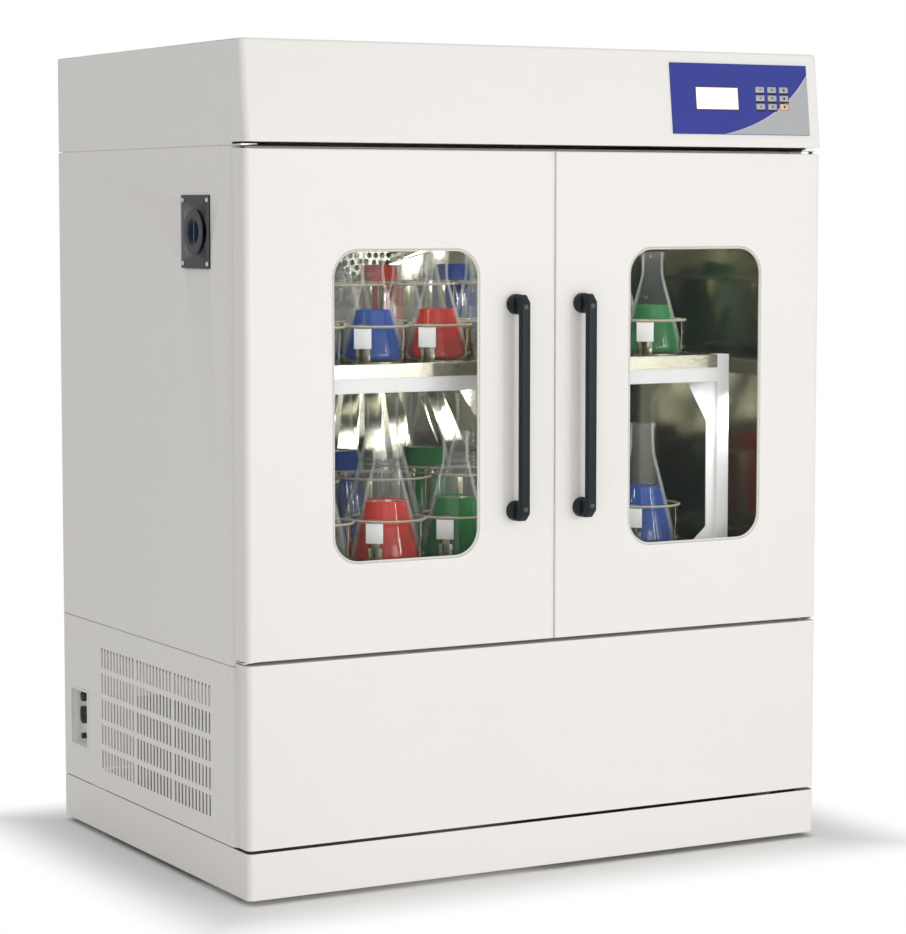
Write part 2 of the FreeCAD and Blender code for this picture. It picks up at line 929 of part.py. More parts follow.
def screw_hole(spot):
    return rod(screw_shank_radius + fit_gap, screw_length * 2, (-overrun, spot[1], spot[2]), ACROSS)


def screw(spot):
    top = (spot[0] - screw_head_height, spot[1], spot[2])
    head = rod(screw_head_radius, screw_head_height, top, ACROSS)
    shank = rod(screw_shank_radius, screw_length - spot[0], spot, ACROSS)
    return joined([head, shank])


def panel_screws():
    left_screws = [screw(spot) for spot in port_screw_spots() + service_screw_spots()]
    right_screws = [to_right(screw(spot)) for spot in service_screw_spots()]
    return group(left_screws + right_screws)


def port_plate():
    left, depth, level = port_centre()
    plate = block(-port_plate_thickness, 0, port_front, port_front + port_plate_width,
                  port_bottom, port_bottom + port_plate_height)
    proud = port_ring_height
    ring = rod(port_ring_radius, proud - port_plate_thickness, (-proud, depth, level), ACROSS)
    bore = rod(port_bore_radius, proud + overrun * 2, (-proud - overrun, depth, level), ACROSS)
    return joined([plate, ring]).cut([bore] + [screw_hole(spot) for spot in port_screw_spots()])


def port_plug():
    """Soft stopper with a finger web across its hollow head."""
    left, depth, level = port_centre()
    radius = port_bore_radius - fit_gap
    head = -port_ring_height + port_plug_inset
    body = rod(radius, wall_thickness - head, (head, depth, level), ACROSS)
    hollow = rod(radius - plug_wall, plug_hollow + overrun, (head - overrun, depth, level), ACROSS)
    reach = radius - plug_wall / 2
    web = block(head, head + plug_hollow, depth - plug_wall, depth + plug_wall, level - reach, level + reach)
    return joined([body.cut(hollow), web])


def power_pocket():
    """Moulded recess that drops into the side panel's hole and lips over it."""
    front, back = pocket_front + fit_gap, pocket_front + pocket_length - fit_gap
    bottom, top = pocket_bottom + fit_gap, pocket_bottom + pocket_height - fit_gap
    body = block(0, pocket_depth, front, back, bottom, top)
    lip = block(-pocket_wall, 0, front - pocket_lip, back + pocket_lip, bottom - pocket_lip, top + pocket_lip)
    hollow = block(-overrun, pocket_depth - pocket_wall, front + pocket_wall, back - pocket_wall,
                   bottom + pocket_wall, top - pocket_wall)
    return joined([body, lip]).cut(hollow)


def pocket_level(share):
    return pocket_bottom + pocket_height * share


def oval(width, height, front, back):
    """Upright oval across the pocket, as wide and high as given, between two lefts."""
    depth = fittings_depth
    level = pocket_level(inlet_level_share)
    body = block(front, back, depth - width / 2, depth + width / 2, level - height / 2, level + height / 2)
    return round_edges(body, width / 2 * inlet_round_share, ACROSS, lambda c: True)


def power_inlet():
    """Oval mains inlet, the fuse cap below it and the switch bezel above it."""
    depth = fittings_depth
    wall = pocket_depth - pocket_wall
    front = wall - inlet_depth
    rim = pocket_wall * 2
    inlet = oval(inlet_width, inlet_height, front, wall)
    inlet = inlet.cut(oval(inlet_width - rim, inlet_height - rim, front - overrun, front + inlet_recess))
    pins = []
    for step in (-1, 0, 1):
        level = pocket_level(inlet_level_share) + step * inlet_pin_pitch
        pins.append(rod(inlet_pin_radius, inlet_depth - sheet, (front + sheet, depth, level), ACROSS))
    fuse = rod(fuse_radius, fuse_depth, (wall - fuse_depth, depth, pocket_level(fuse_level_share)), ACROSS)
    centre = pocket_level(rocker_level_share)
    room_radius = rocker_radius + fit_gap
    front = wall - rocker_depth
    outer = rod(room_radius + rocker_bezel_wall, rocker_depth, (front, depth, centre), ACROSS)
    room = rod(room_radius, rocker_depth + overrun, (front - overrun, depth, centre), ACROSS)
    return group([joined([inlet] + pins), fuse, outer.cut(room)])


def rocker_switch():
    """Round rocker that tips about a level pin, resting on its lower side."""
    depth = fittings_depth
    wall = pocket_depth - pocket_wall
    centre = pocket_level(rocker_level_share)
    pivot = wall - rocker_depth / 2
    radius = rocker_radius - fit_gap
    cap = rod(radius, rocker_depth / 2, (pivot - rocker_depth / 2, depth, centre), ACROSS)
    stem = rod(rocker_pivot_radius, radius * 2, (pivot, depth - radius, centre), INWARDS)
    rocker = joined([cap, stem])
    rocker.rotate(V(pivot, depth, centre), V(*INWARDS), rocker_tilt_angle)
    return rocker


# Chamber

def chamber_shell(grow):
    """The chamber's outline from the door side, grown on every wall."""
    return block(wall_thickness - grow, cabinet_width - wall_thickness + grow, face_depth,
                 chamber_back + grow, chamber_floor - grow, chamber_roof + grow)


def chamber_liner():
    """Stainless sheets welded to a box open to the front, and the flange that the doors seal on."""
    left, right = wall_thickness, cabinet_width - wall_thickness
    low, high = chamber_floor - sheet, chamber_roof + sheet
    front, back = face_depth + sheet, chamber_back
    flange_left, flange_right = side_return_width + fit_gap, cabinet_width - side_return_width - fit_gap
    sheets = [
        block(left - sheet, left, front, back, low, high),
        block(right, right + sheet, front, back, low, high),
        block(left, right, front, back, low, chamber_floor),
        block(left, right, front, back, chamber_roof, high),
        block(left - sheet, right + sheet, back, back + sheet, low, high),
        block(flange_left, left, face_depth, front, upper_panel_bottom, side_panel_top),
        block(right, flange_right, face_depth, front, upper_panel_bottom, side_panel_top),
        block(left, right, face_depth, front, upper_panel_bottom, chamber_floor),
        block(left, right, face_depth, front, chamber_roof, side_panel_top),
    ]
    port_left, depth, level = port_centre()
    cutters = [rod(port_bore_radius, wall_thickness, (overrun, depth, level), ACROSS)]
    for spot in crank_spots():
        cutters.append(upright(housing_radius + fit_gap, spot[0], spot[1], deck_top, chamber_floor + overrun))
    return apart([piece.cut(cutters) for piece in sheets])


def insulation():
    """Foam between the liner and the outer sheets."""
    body = cabinet_inside(deck_top + fit_gap, foam_roof).cut(chamber_shell(sheet + fit_gap))
    left, depth, level = port_centre()
    cutters = [rod(port_bore_radius, wall_thickness + overrun, (0, depth, level), ACROSS)]
    flange_top = deck_top + housing_flange + fit_gap
    for spot in crank_spots():
        cutters.append(upright(housing_flange_radius + fit_gap, spot[0], spot[1], deck_top, flange_top))
        cutters.append(upright(housing_radius + fit_gap, spot[0], spot[1], deck_top, chamber_floor))
    for spot in port_screw_spots():
        cutters.append(screw_hole(spot))
    return body.cut(cutters)


def fan(radius):
    """Axial fan about the origin: hub, twisted blades and a shaft towards the back."""
    hub = rod(fan_hub_radius, fan_depth, (0, -fan_depth / 2, 0), INWARDS)
    shaft = rod(fan_shaft_radius, fan_shaft_length, (0, fan_depth / 2, 0), INWARDS)
    slope = fan_depth * math.cos(math.radians(fan_blade_angle)) - fan_blade_thickness * 2
    thick = fan_blade_thickness / 2
    pieces = [hub, shaft]
    for number in range(fan_blade_count):
        blade = block(fan_hub_radius / 2, radius, -slope / 2, slope / 2, -thick, thick)
        blade.rotate(V(0, 0, 0), V(*ACROSS), fan_blade_angle)
        blade.rotate(V(0, 0, 0), V(*INWARDS), number * 360.0 / fan_blade_count)
        pieces.append(blade)
    return joined(pieces)


def duct_fan_centre():
    return cabinet_width / 2, duct_front + sheet + duct_fan_gap + fan_depth / 2, fan_level


def circulation_fan():
    wheel = fan(fan_radius)
    wheel.translate(V(*duct_fan_centre()))
    return wheel


def condenser_fan_centre():
    left = condenser_left + condenser_width + condenser_fan_gap + fan_depth / 2
    level = frame_bottom + tube + unit_plate + condenser_height / 2
    return left, condenser_front + condenser_length / 2, level


def condenser_fan():
    wheel = fan(condenser_fan_radius)
    wheel.rotate(V(0, 0, 0), V(*UP), -90)
    wheel.translate(V(*condenser_fan_centre()))
    return wheel


def motor_can(length, at, axis):
    """Fan motor body with the bore that its shaft runs in."""
    can = rod(fan_motor_radius, length, at, axis)
    return can.cut(rod(fan_shaft_radius + running_gap, fan_shaft_length, at, axis))


def fan_motors():
    """The two fan motors, each on the bracket that carries it."""
    x, y, z = duct_fan_centre()
    start = y + fan_depth / 2 + fan_motor_gap
    duct_motor = motor_can(chamber_back - start, (x, start, z), INWARDS)
    x, y, z = condenser_fan_centre()
    start = x + fan_depth / 2 + fan_motor_gap
    end = start + condenser_motor_length
    can = motor_can(condenser_motor_length, (start, y, z), ACROSS)
    half = bracket_width / 2
    floor = frame_bottom + tube + unit_plate
    post = block(end - bracket_width, end, y - half, y + half, floor, z - fan_motor_radius + overrun)
    return group([duct_motor, joined([can, post])])


def air_duct():
    """Cover over the coil and fan at the back of the chamber."""
    left, right = wall_thickness + duct_side_gap, cabinet_width - wall_thickness - duct_side_gap
    cover = block(left, right, duct_front, chamber_back, duct_bottom, duct_top)
    cover = cover.cut(block(left + sheet, right - sheet, duct_front + sheet, chamber_back + overrun,
                            duct_bottom + sheet, duct_top - sheet))
    cutters = []
    x, y, z = duct_fan_centre()
    for ring in range(fan_grille_ring_count):
        count = fan_grille_first_count * (ring + 1)
        radius = fan_radius * (ring + 1) / (fan_grille_ring_count + 1)
        for hole in range(count):
            angle = math.radians(360.0 * hole / count)
            at = (x + radius * math.cos(angle), duct_front - overrun, z + radius * math.sin(angle))
            cutters.append(rod(fan_grille_hole, sheet + overrun * 2, at, INWARDS))
    columns = int((right - left - duct_slot_margin * 2) / duct_slot_pitch)
    for row in range(duct_slot_rows):
        bottom = duct_bottom + duct_slot_margin + row * duct_slot_row_pitch
        for column in range(columns):
            start = left + duct_slot_margin + column * duct_slot_pitch
            cutters.append(block(start, start + duct_slot_width, duct_front - overrun,
                                 duct_front + sheet + overrun, bottom, bottom + duct_slot_height))
    return cover.cut(group(cutters))


def heat_exchangers():
    """Evaporator coil block and the heater ring round the fan motor, with their feet."""
    x, y, z = duct_fan_centre()
    half = evaporator_width / 2
    coil = block(x - half, x + half, chamber_back - evaporator_depth, chamber_back,
                 evaporator_bottom, evaporator_bottom + evaporator_height)
    ring_depth = y + fan_depth
    ring = Part.makeTorus(heater_ring_radius, heater_rod_radius, V(x, ring_depth, z), V(*INWARDS))
    feet = []
    for side in (-1, 1):
        at = (x + side * heater_ring_radius, ring_depth, z)
        feet.append(rod(heater_foot_radius, chamber_back - ring_depth, at, INWARDS))
    return group([coil, joined([ring] + feet)])


# Orbital drive

def crank_spots():
    """The driven crank at the back, then the left and the right idler."""
    idlers = [(crank_left - idler_spread, idler_depth), (crank_left + idler_spread, idler_depth)]
    return [(crank_left, drive_depth)] + idlers


def bearing_housings():
    housings = []
    for left, depth in crank_spots():
        tube_body = upright(housing_radius, left, depth, housing_bottom, housing_top)
        flange = upright(housing_flange_radius, left, depth, deck_top, deck_top + housing_flange)
        bore = upright(shaft_radius + running_gap, left, depth,
                       housing_bottom - overrun, housing_top + overrun)
        housings.append(joined([tube_body, flange]).cut(bore))
    return group(housings)


def crank(spot, shaft_bottom, weight):
    """Shaft, disc and eccentric pin, with a counterweight opposite the pin."""
    left, depth = spot
    pieces = [
        upright(shaft_radius, left, depth, shaft_bottom, crank_disc_bottom),
        upright(crank_disc_radius, left, depth, crank_disc_bottom, crank_disc_top),
        upright(crank_pin_radius, left + orbit_radius, depth, crank_disc_top, crank_pin_top),
    ]
    if weight:
        at = V(left, depth, crank_disc_bottom)
        sector = Part.makeCylinder(crank_weight_radius, crank_disc_thickness, at, V(*UP),
                                   crank_weight_half_angle * 2)
        sector.rotate(V(left, depth, 0), V(*UP), 180 - crank_weight_half_angle)
        pieces.append(sector)
    collar = upright(shaft_radius + pulley_flange, left, depth, housing_top + fit_gap, crank_disc_bottom)
    return joined(pieces + [collar])


def pulley(left, depth, radius, bottom):
    """Flanged belt pulley."""
    top = bottom + pulley_thickness
    return [upright(radius + pulley_flange, left, depth, bottom, bottom + pulley_flange),
            upright(radius, left, depth, bottom, top),
            upright(radius + pulley_flange, left, depth, top - pulley_flange, top)]


def drive_crank():
    body = crank(crank_spots()[0], pulley_bottom, True)
    return joined([body] + pulley(crank_left, drive_depth, drive_pulley_radius, pulley_bottom))


def idler(number):
    return crank(crank_spots()[number], housing_bottom, False)


def drive_motor():
    """Motor hung under the deck on its flange, with a bore for the pulley shaft."""
    deck_bottom = deck_top - deck_thickness
    can = upright(motor_radius, motor_left, drive_depth, motor_bottom, deck_bottom)
    flange = upright(motor_flange_radius, motor_left, drive_depth, deck_bottom - deck_thickness, deck_bottom)
    bore = upright(motor_shaft_radius + running_gap, motor_left, drive_depth,
                   motor_bottom - overrun, motor_bottom + pulley_thickness)
    return joined([can, flange]).cut(bore)


def motor_pulley():
    shaft = upright(motor_shaft_radius, motor_left, drive_depth,
                    pulley_bottom, motor_bottom + pulley_thickness - fit_gap)
    return joined(pulley(motor_left, drive_depth, motor_pulley_radius, pulley_bottom) + [shaft])


def belt_loop(extra, bottom, top):
    """Solid inside of an open belt round both pulleys, grown outwards."""
    big, small = drive_pulley_radius + extra, motor_pulley_radius + extra
    lean = math.asin((big - small) / motor_offset)
    points = []
    for left, radius in ((crank_left, big), (motor_left, small)):
        for side in (-1, 1):
            points.append((left + radius * math.sin(lean), drive_depth + side * radius * math.cos(lean)))
    ring = [points[0], points[2], points[3], points[1]]
    corners = [V(x, y, bottom) for x, y in ring]
    flat = Part.Face(Part.makePolygon(corners + corners[:1])).extrude(V(0, 0, top - bottom))
    rounds = [upright(big, crank_left, drive_depth, bottom, top),
              upright(small, motor_left, drive_depth, bottom, top)]
    return joined([flat] + rounds)


def drive_belt():
    low = pulley_bottom + pulley_flange + belt_gap
    high = pulley_bottom + pulley_thickness - pulley_flange - belt_gap
    outer = belt_loop(belt_gap + belt_thickness, low, high)
    return outer.cut(belt_loop(belt_gap, low - overrun, high + overrun))


def condensing_unit():
    """Compressor and condenser block on one base plate that lies on the rails."""
    floor = frame_bottom + tube
    top = floor + unit_plate
    plate_right = compressor_left + compressor_radius * compressor_plate_share
    plate = block(condenser_left, plate_right, rail_front, rail_back + tube, floor, top)
    coil = block(condenser_left, condenser_left + condenser_width, condenser_front,
                 condenser_front + condenser_length, top, top + condenser_height)
    can_top = top + compressor_height
    can = upright(compressor_radius, compressor_left, compressor_depth, top, can_top)
    crown = [e for e in can.Edges if e.CenterOfMass.z > can_top - fit_gap and len(e.Vertexes) == 1]
    can = can.makeFillet(compressor_radius / 3, crown)
    return joined([plate, coil, can])


# Platform

def tray(left, right, front, back, top):
    """Sheet tray with edges and two ribs turned down."""
    body = block(left, right, front, back, top - tray_edge, top)
    third = (right - left) / 3
    pockets = []
    for number in range(3):
        start = left + number * third + tray_sheet
        pockets.append(block(start, start + third - tray_sheet * 2, front + tray_sheet, back - tray_sheet,
                             top - tray_edge - overrun, top - tray_sheet))
    return body.cut(pockets)


def lower_tray():
    """Platform plate with the three hubs that the crank pins carry."""
    plate = tray(rack_left, rack_right, rack_front, rack_back, tray_top)
    hubs = []
    bores = []
    for number, spot in enumerate(crank_spots()):
        left, depth = spot[0] + orbit_radius, spot[1]
        gap = idler_bore_gap if number else running_gap
        hubs.append(upright(hub_radius, left, depth, hub_bottom, tray_top - tray_sheet))
        bores.append(upright(crank_pin_radius + gap, left, depth,
                             hub_bottom - overrun, crank_pin_top + overrun))
    return joined([plate] + hubs).cut(bores)


def upper_tray():
    return tray(rack_left + rack_tube, rack_right - rack_tube, rack_front, rack_back, upper_tray_top)


def gusset(side_left, facing):
    """Flat plate that widens into the post's top and bottom corners."""
    low, high = tray_top, beam_bottom
    outline = [
        V(0, 0, low), V(gusset_width, 0, low), V(gusset_neck, 0, low + gusset_height / 2),
        V(gusset_neck, 0, high - gusset_height), V(gusset_width, 0, high), V(0, 0, high),
    ]
    face = Part.Face(Part.makePolygon(outline + outline[:1]))
    plate = face.extrude(V(0, gusset_plate, 0))
    if facing < 0:
        plate = plate.mirror(V(0, 0, 0), V(*ACROSS))
    plate.translate(V(side_left, 0, 0))
    return plate


def rack_frame():
    """White square-tube frame that carries the upper tray."""
    pieces = []
    inner_left, inner_right = rack_left + rack_tube, rack_right - rack_tube
    for front in (rack_front, rack_back - rack_tube):
        back = front + rack_tube
        pieces.append(block(inner_left, inner_right, front, back, beam_bottom, beam_top))
        for left in (rack_left, inner_right):
            pieces.append(block(left, left + rack_tube, front, back, tray_top, upper_tray_top))
        middle = (front + back - gusset_plate) / 2
        for left, facing in ((inner_left, 1), (inner_right, -1)):
            plate = gusset(left, facing)
            plate.translate(V(0, middle, 0))
            pieces.append(plate)
    front, back = rack_front + rack_tube, rack_back - rack_tube
    for left in (rack_left, inner_right):
        pieces.append(block(left, left + rack_tube, front, back, beam_bottom, beam_top))
    return joined(pieces)


# Flasks and clamps

def flask_rows():
    """Every row as depth, tray level, body radius, height, large or small, and places."""
    upper_room, lower_room = chamber_roof - upper_tray_top, beam_bottom - tray_top
    small = (small_flask, upper_room * small_flask_height_share, False, upper_small_shares)
    large = (large_flask, upper_room * large_flask_height_share, True, upper_large_shares)
    front = (lower_flask, lower_room * lower_flask_height_share, False, lower_front_shares)
    tall = (tall_flask, lower_room * tall_flask_height_share, True, lower_large_shares)
    tiers = [
        (upper_tray_top, upper_gap_shares, (small, small, large, large)),
        (tray_top, lower_gap_shares, (front, tall, tall)),
    ]
    rows = []
    for level, gap_shares, kinds in tiers:
        depth = rack_front
        for gap_share, (width, height, is_large, shares) in zip(gap_shares, kinds):
            depth += width * (1 + gap_share)
            if depth < rack_back:
                rows.append((depth - width / 2, level, width / 2, height, is_large, shares))
    return rows


def flask_places():
    """Centre of every flask on its tray, as many as stand clear, with its size."""
    inner_left, inner_right = rack_left + rack_tube, rack_right - rack_tube
    places = []
    for depth, level, radius, height, large, shares in flask_rows():
        room = clamp_reach(radius)
        free_from = rack_left
        for share in shares:
            left = inner_left + (inner_right - inner_left) * share
            if left - room > free_from:
                places.append((V(left, depth, level), radius, height, large))
                free_from = left + room
    return places


def flask_profile(radius, height, inset, top):
    """Half outline of a conical flask up to a level, moved inwards by an inset."""
    neck = radius * neck_share - inset
    wide = radius - inset
    round_top = flask_base_round * 2
    shoulder = height * (1 - neck_height_share)
    points = [V(0, 0, inset), V(wide - flask_base_round, 0, inset),
              V(wide, 0, inset + flask_base_round), V(wide, 0, round_top)]
    slope = (wide - neck) / (shoulder - round_top)
    if top < shoulder:
        points.append(V(wide - slope * (top - round_top), 0, top))
        points.append(V(0, 0, top))
    else:
        points.append(V(neck, 0, shoulder))
        points.append(V(neck, 0, top))
        points.append(V(0, 0, top))
    return points


def turned(points):
    face = Part.Face(Part.makePolygon(points + points[:1]))
    return face.revolve(V(0, 0, 0), V(*UP), 360)


def flask(radius, height):
    outer = turned(flask_profile(radius, height, 0, height))
    lip_height = height * lip_share
    lip = Part.makeCylinder(radius * neck_share + flask_wall, lip_height, V(0, 0, height - lip_height))
    inner = turned(flask_profile(radius, height, flask_wall, height + overrun))
    return joined([outer, lip]).cut(inner)


def liquid(radius, height, large):
    fill = large_fill_share if large else small_fill_share
    return turned(flask_profile(radius, height, flask_wall + fit_gap, height * fill))


def clamp_reach(radius):
    """Outer radius of the wire ring round a clamp's fingers."""
    corner = math.hypot(radius + fit_gap + clamp_sheet, clamp_finger_width / 2)
    return corner + fit_gap + clamp_ring_radius * 2


def clamp(radius, height, large):
    """Base plate with bent-up fingers, each turned out at its tip, and a wire ring."""
    reach = radius + fit_gap
    finger_height = height * (large_clamp_share if large else small_clamp_share)
    base = Part.makeCylinder(reach, clamp_sheet)
    pieces = [base]
    for number in range(clamp_finger_count):
        half = clamp_finger_width / 2
        finger = block(reach - clamp_sheet, reach + clamp_sheet, -half, half, 0, finger_height)
        finger = finger.cut(Part.makeCylinder(reach, finger_height + overrun, V(0, 0, clamp_sheet)))
        tip = block(reach, reach + clamp_tip, -half, half, finger_height - clamp_sheet, finger_height)
        part = finger.fuse(tip)
        part.rotate(V(0, 0, 0), V(*UP), clamp_turn_angle + number * 360.0 / clamp_finger_count)
        pieces.append(part)
    body = joined(pieces)
    ring_level = finger_height - clamp_sheet - fit_gap - clamp_ring_radius
    ring_radius = clamp_reach(radius) - clamp_ring_radius
    ring = Part.makeTorus(ring_radius, clamp_ring_radius, V(0, 0, ring_level))
    return [body, ring]


def flask_glass():
    pieces = []
    for centre, radius, height, large in flask_places():
        glass = flask(radius, height)
        glass.translate(centre + V(0, 0, clamp_sheet))
        pieces.append(glass)
    return group(pieces)


def flask_liquids():
    pieces = []
    for centre, radius, height, large in flask_places():
        filling = liquid(radius, height, large)
        filling.translate(centre + V(0, 0, clamp_sheet))
        pieces.append(filling)
    return group(pieces)


def flask_clamps():
    pieces = []
    for centre, radius, height, large in flask_places():
        for solid in clamp(radius, height, large):
            solid.translate(centre)
            pieces.append(solid)
    return group(pieces)


def build():
    os.makedirs("parts", exist_ok=True)
    makers = {
        "base_frame": base_frame,
        "levelling_feet": levelling_feet,
        "plinth": plinth,
        "lower_front_panel": lower_front_panel,
        "left_service_panel": left_service_panel,
        "right_service_panel": right_service_panel,
        "left_side_panel": left_side_panel,
        "right_side_panel": right_side_panel,
        "back_panel": back_panel,
        "header_cover": header_cover,
        "chamber_liner": chamber_liner,
        "insulation": insulation,
        "hinge_brackets": hinge_brackets,
        "control_overlay": control_overlay,
        "display_window": display_window,
        "control_board": control_board,
        "power_pocket": power_pocket,
        "power_inlet": power_inlet,
        "rocker_switch": rocker_switch,
        "port_plate": port_plate,
        "port_plug": port_plug,
        "panel_screws": panel_screws,
        "air_duct": air_duct,
        "heat_exchangers": heat_exchangers,
        "circulation_fan": circulation_fan,
        "condenser_fan": condenser_fan,
        "fan_motors": fan_motors,
        "condensing_unit": condensing_unit,
        "bearing_housings": bearing_housings,
        "drive_crank": drive_crank,
        "drive_motor": drive_motor,
        "motor_pulley": motor_pulley,
        "drive_belt": drive_belt,
        "lower_tray": lower_tray,
        "upper_tray": upper_tray,
        "rack_frame": rack_frame,
        "flask_glass": flask_glass,
        "flask_liquids": flask_liquids,
        "flask_clamps": flask_clamps,
    }
    for name, maker in makers.items():
        save(name, maker())
    for number, name in ((1, "idler_left"), (2, "idler_right")):
        save(name, idler(number))
    for number in range(key_columns * key_rows):
        save("key_" + str(number + 1), key(number))
    for side, is_left in (("left", True), ("right", False)):
        save(side + "_door_shell", door_shell(is_left))
        save(side + "_door_core", door_core(is_left))
        save(side + "_window_panes", window_panes(is_left))
        save(side + "_door_seal", door_seal(is_left))
        save(side + "_handle", handle(handle_left(is_left)))


build()
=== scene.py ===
import bmesh
import bpy
import json
import math
from mathutils import Matrix, Vector

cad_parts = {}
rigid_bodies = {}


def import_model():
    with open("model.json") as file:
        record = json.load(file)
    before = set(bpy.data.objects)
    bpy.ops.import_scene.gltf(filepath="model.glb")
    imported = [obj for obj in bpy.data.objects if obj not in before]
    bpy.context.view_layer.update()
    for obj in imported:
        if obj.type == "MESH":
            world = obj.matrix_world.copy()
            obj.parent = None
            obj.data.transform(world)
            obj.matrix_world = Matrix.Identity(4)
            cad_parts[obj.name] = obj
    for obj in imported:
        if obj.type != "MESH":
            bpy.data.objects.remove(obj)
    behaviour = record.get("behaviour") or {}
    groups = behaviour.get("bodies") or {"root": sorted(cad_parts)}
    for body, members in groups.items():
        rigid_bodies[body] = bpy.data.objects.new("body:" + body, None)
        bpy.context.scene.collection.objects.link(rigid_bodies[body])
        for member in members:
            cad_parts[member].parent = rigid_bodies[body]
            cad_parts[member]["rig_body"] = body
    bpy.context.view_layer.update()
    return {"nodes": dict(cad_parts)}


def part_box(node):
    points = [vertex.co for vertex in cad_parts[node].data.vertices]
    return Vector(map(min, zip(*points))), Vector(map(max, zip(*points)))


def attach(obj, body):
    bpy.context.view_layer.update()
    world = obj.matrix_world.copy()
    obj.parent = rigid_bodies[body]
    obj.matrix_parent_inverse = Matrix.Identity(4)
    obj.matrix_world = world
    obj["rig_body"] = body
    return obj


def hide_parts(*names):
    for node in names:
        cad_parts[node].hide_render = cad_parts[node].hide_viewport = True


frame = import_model()

bl_info = {
    "name": "Incubated orbital shaker",
    "version": (1, 0, 0),
    "blender": (4, 5, 0),
    "location": "View3D > Sidebar > Shaker",
    "description": "Dresses the packed shaker cabinet with its finished pieces and materials",
    "category": "Object",
}

MM = 0.001

# The camera, fitted to the photograph, and the frame it sees
CAMERA_PLACE = (-2.83587, -5.16534, 1.26051)
CAMERA_PITCH = 90.0 - 5.049
CAMERA_YAW = -29.044
CAMERA_LENS = 113.28

# Most walls of clear glass that one line of sight passes
CLEAR_LAYERS = 48

# The header face leans back by this rise and run
HEADER_RUN = 22.0
HEADER_RISE = 183.0

# Liquids along each row of flasks, from the left, by tier and by row from the doors
FLASK_LIQUIDS = {
    ("upper", 0): ("blue", "blue", "red", "yellow", "clear", "green"),
    ("upper", 1): ("clear", "clear", "clear", "clear", "clear", "clear"),
    ("upper", 2): ("clear", "clear", "clear", "clear", "clear"),
    ("upper", 3): ("red", "green", "red", "blue", "green"),
    ("lower", 0): ("clear", "red", "green", "clear", "blue"),
    ("lower", 1): ("clear", "clear", "clear", "clear"),
    ("lower", 2): ("yellow", "blue", "green", "red"),
}
UPPER_TIER_FROM = 0.80


# Colours

def linear(code):
    """sRGB hex to the linear values that shaders take."""
    def channel(text):
        value = int(text, 16) / 255
        return value / 12.92 if value <= 0.04045 else ((value + 0.055) / 1.055) ** 2.4
    return tuple(channel(code[i:i + 2]) for i in (1, 3, 5))


def colour_property(name, text, code):
    return bpy.props.FloatVectorProperty(name=name, description=text, subtype="COLOR", size=3, min=0, max=1,
                                         default=linear(code))


def length_property(name, text, millimetres):
    return bpy.props.FloatProperty(name=name, description=text, subtype="DISTANCE", unit="LENGTH",
                                   default=millimetres * MM, min=0, precision=4)


class ShakerColours(bpy.types.PropertyGroup):
    cabinet: colour_property("Cabinet", "Powder coat of the cabinet's sheets", "#EDEAE6")
    rack: colour_property("Rack", "Paint of the rack that carries the upper tray", "#F2F3F2")
    handle: colour_property("Handles", "Moulded handles", "#1B2226")
    overlay_blue: colour_property("Overlay", "Main field of the control overlay", "#353D92")
    overlay_grey: colour_property("Overlay corner", "Corner field of the control overlay", "#B1B2B4")
    overlay_line: colour_property("Overlay line", "Thin line between the two fields", "#D9C3CF")
    stainless: colour_property("Stainless", "Chamber walls and trays", "#A6A493")
    clamp: colour_property("Clamps", "Flask clamps", "#A9A593")
    blue: colour_property("Blue liquid", "Blue culture", "#05398A")
    red: colour_property("Red liquid", "Red culture", "#B01706")
    green: colour_property("Green liquid", "Green culture", "#036628")
    yellow: colour_property("Yellow liquid", "Yellow culture", "#E3A916")
    clear: colour_property("Clear liquid", "Clear medium", "#C9CCC4")


class ShakerSizes(bpy.types.PropertyGroup):
    panel_edge: length_property("Panel edge", "Rounding of the sheets' outer edges", 1.2)
    door_edge: length_property("Door edge", "Rounding of the doors' outer edges", 2.4)
    flask_wall: length_property("Flask wall", "Thickness of the flasks' glass", 2.5)
    flask_foot: length_property("Flask foot", "Rounding of the flasks' bottom edge", 8.0)
    clamp_sheet: length_property("Clamp sheet", "Thickness of the clamps' spring sheet", 1.5)
    finger_width: length_property("Clamp finger", "Width of one clamp finger", 22.0)
    ring_wire: length_property("Clamp ring", "Radius of the clamps' ring wire", 2.4)
    tag_width: length_property("Tag width", "Width of the blank tags on the front flasks", 34.0)
    tag_height: length_property("Tag height", "Height of the blank tags", 38.0)
    handle_bar: length_property("Handle bar", "Width of the handles' bar", 20.0)
    handle_thickness: length_property("Handle thickness", "Depth of the handles' bar", 15.0)
    handle_foot: length_property("Handle foot", "Diameter of the handles' feet", 38.0)
    handle_foot_depth: length_property("Handle foot depth", "Height of the feet over the door", 16.0)
    gasket: length_property("Window gasket", "Radius of the bead round each window pane", 2.2)


def sizes():
    return bpy.context.scene.shaker_sizes


def colours():
    return bpy.context.scene.shaker_colours


# Shader tools

def add_node(tree, kind, inputs=None, **settings):
    """Add a shader node, set its fields, and set or link its sockets."""
    made = tree.nodes.new(kind)
    for field, value in settings.items():
        setattr(made, field, value)
    for socket, value in (inputs or {}).items():
        if isinstance(value, bpy.types.NodeSocket):
            tree.links.new(value, made.inputs[socket])
        else:
            made.inputs[socket].default_value = value
    return made


def start_material(name, colour, roughness, **sockets):
    """New material with its shader's plain values, and where its patterns start."""
    material = bpy.data.materials.new(name)
    material.use_nodes = True
    tree = material.node_tree
    shader = tree.nodes["Principled BSDF"]
    shader.inputs["Base Color"].default_value = (*colour, 1)
    shader.inputs["Roughness"].default_value = roughness
    for socket, value in sockets.items():
        shader.inputs[socket.replace("_", " ").title().replace("Ior", "IOR")].default_value = value
    place = add_node(tree, "ShaderNodeTexCoord").outputs["Object"]
    return material, tree, shader, place


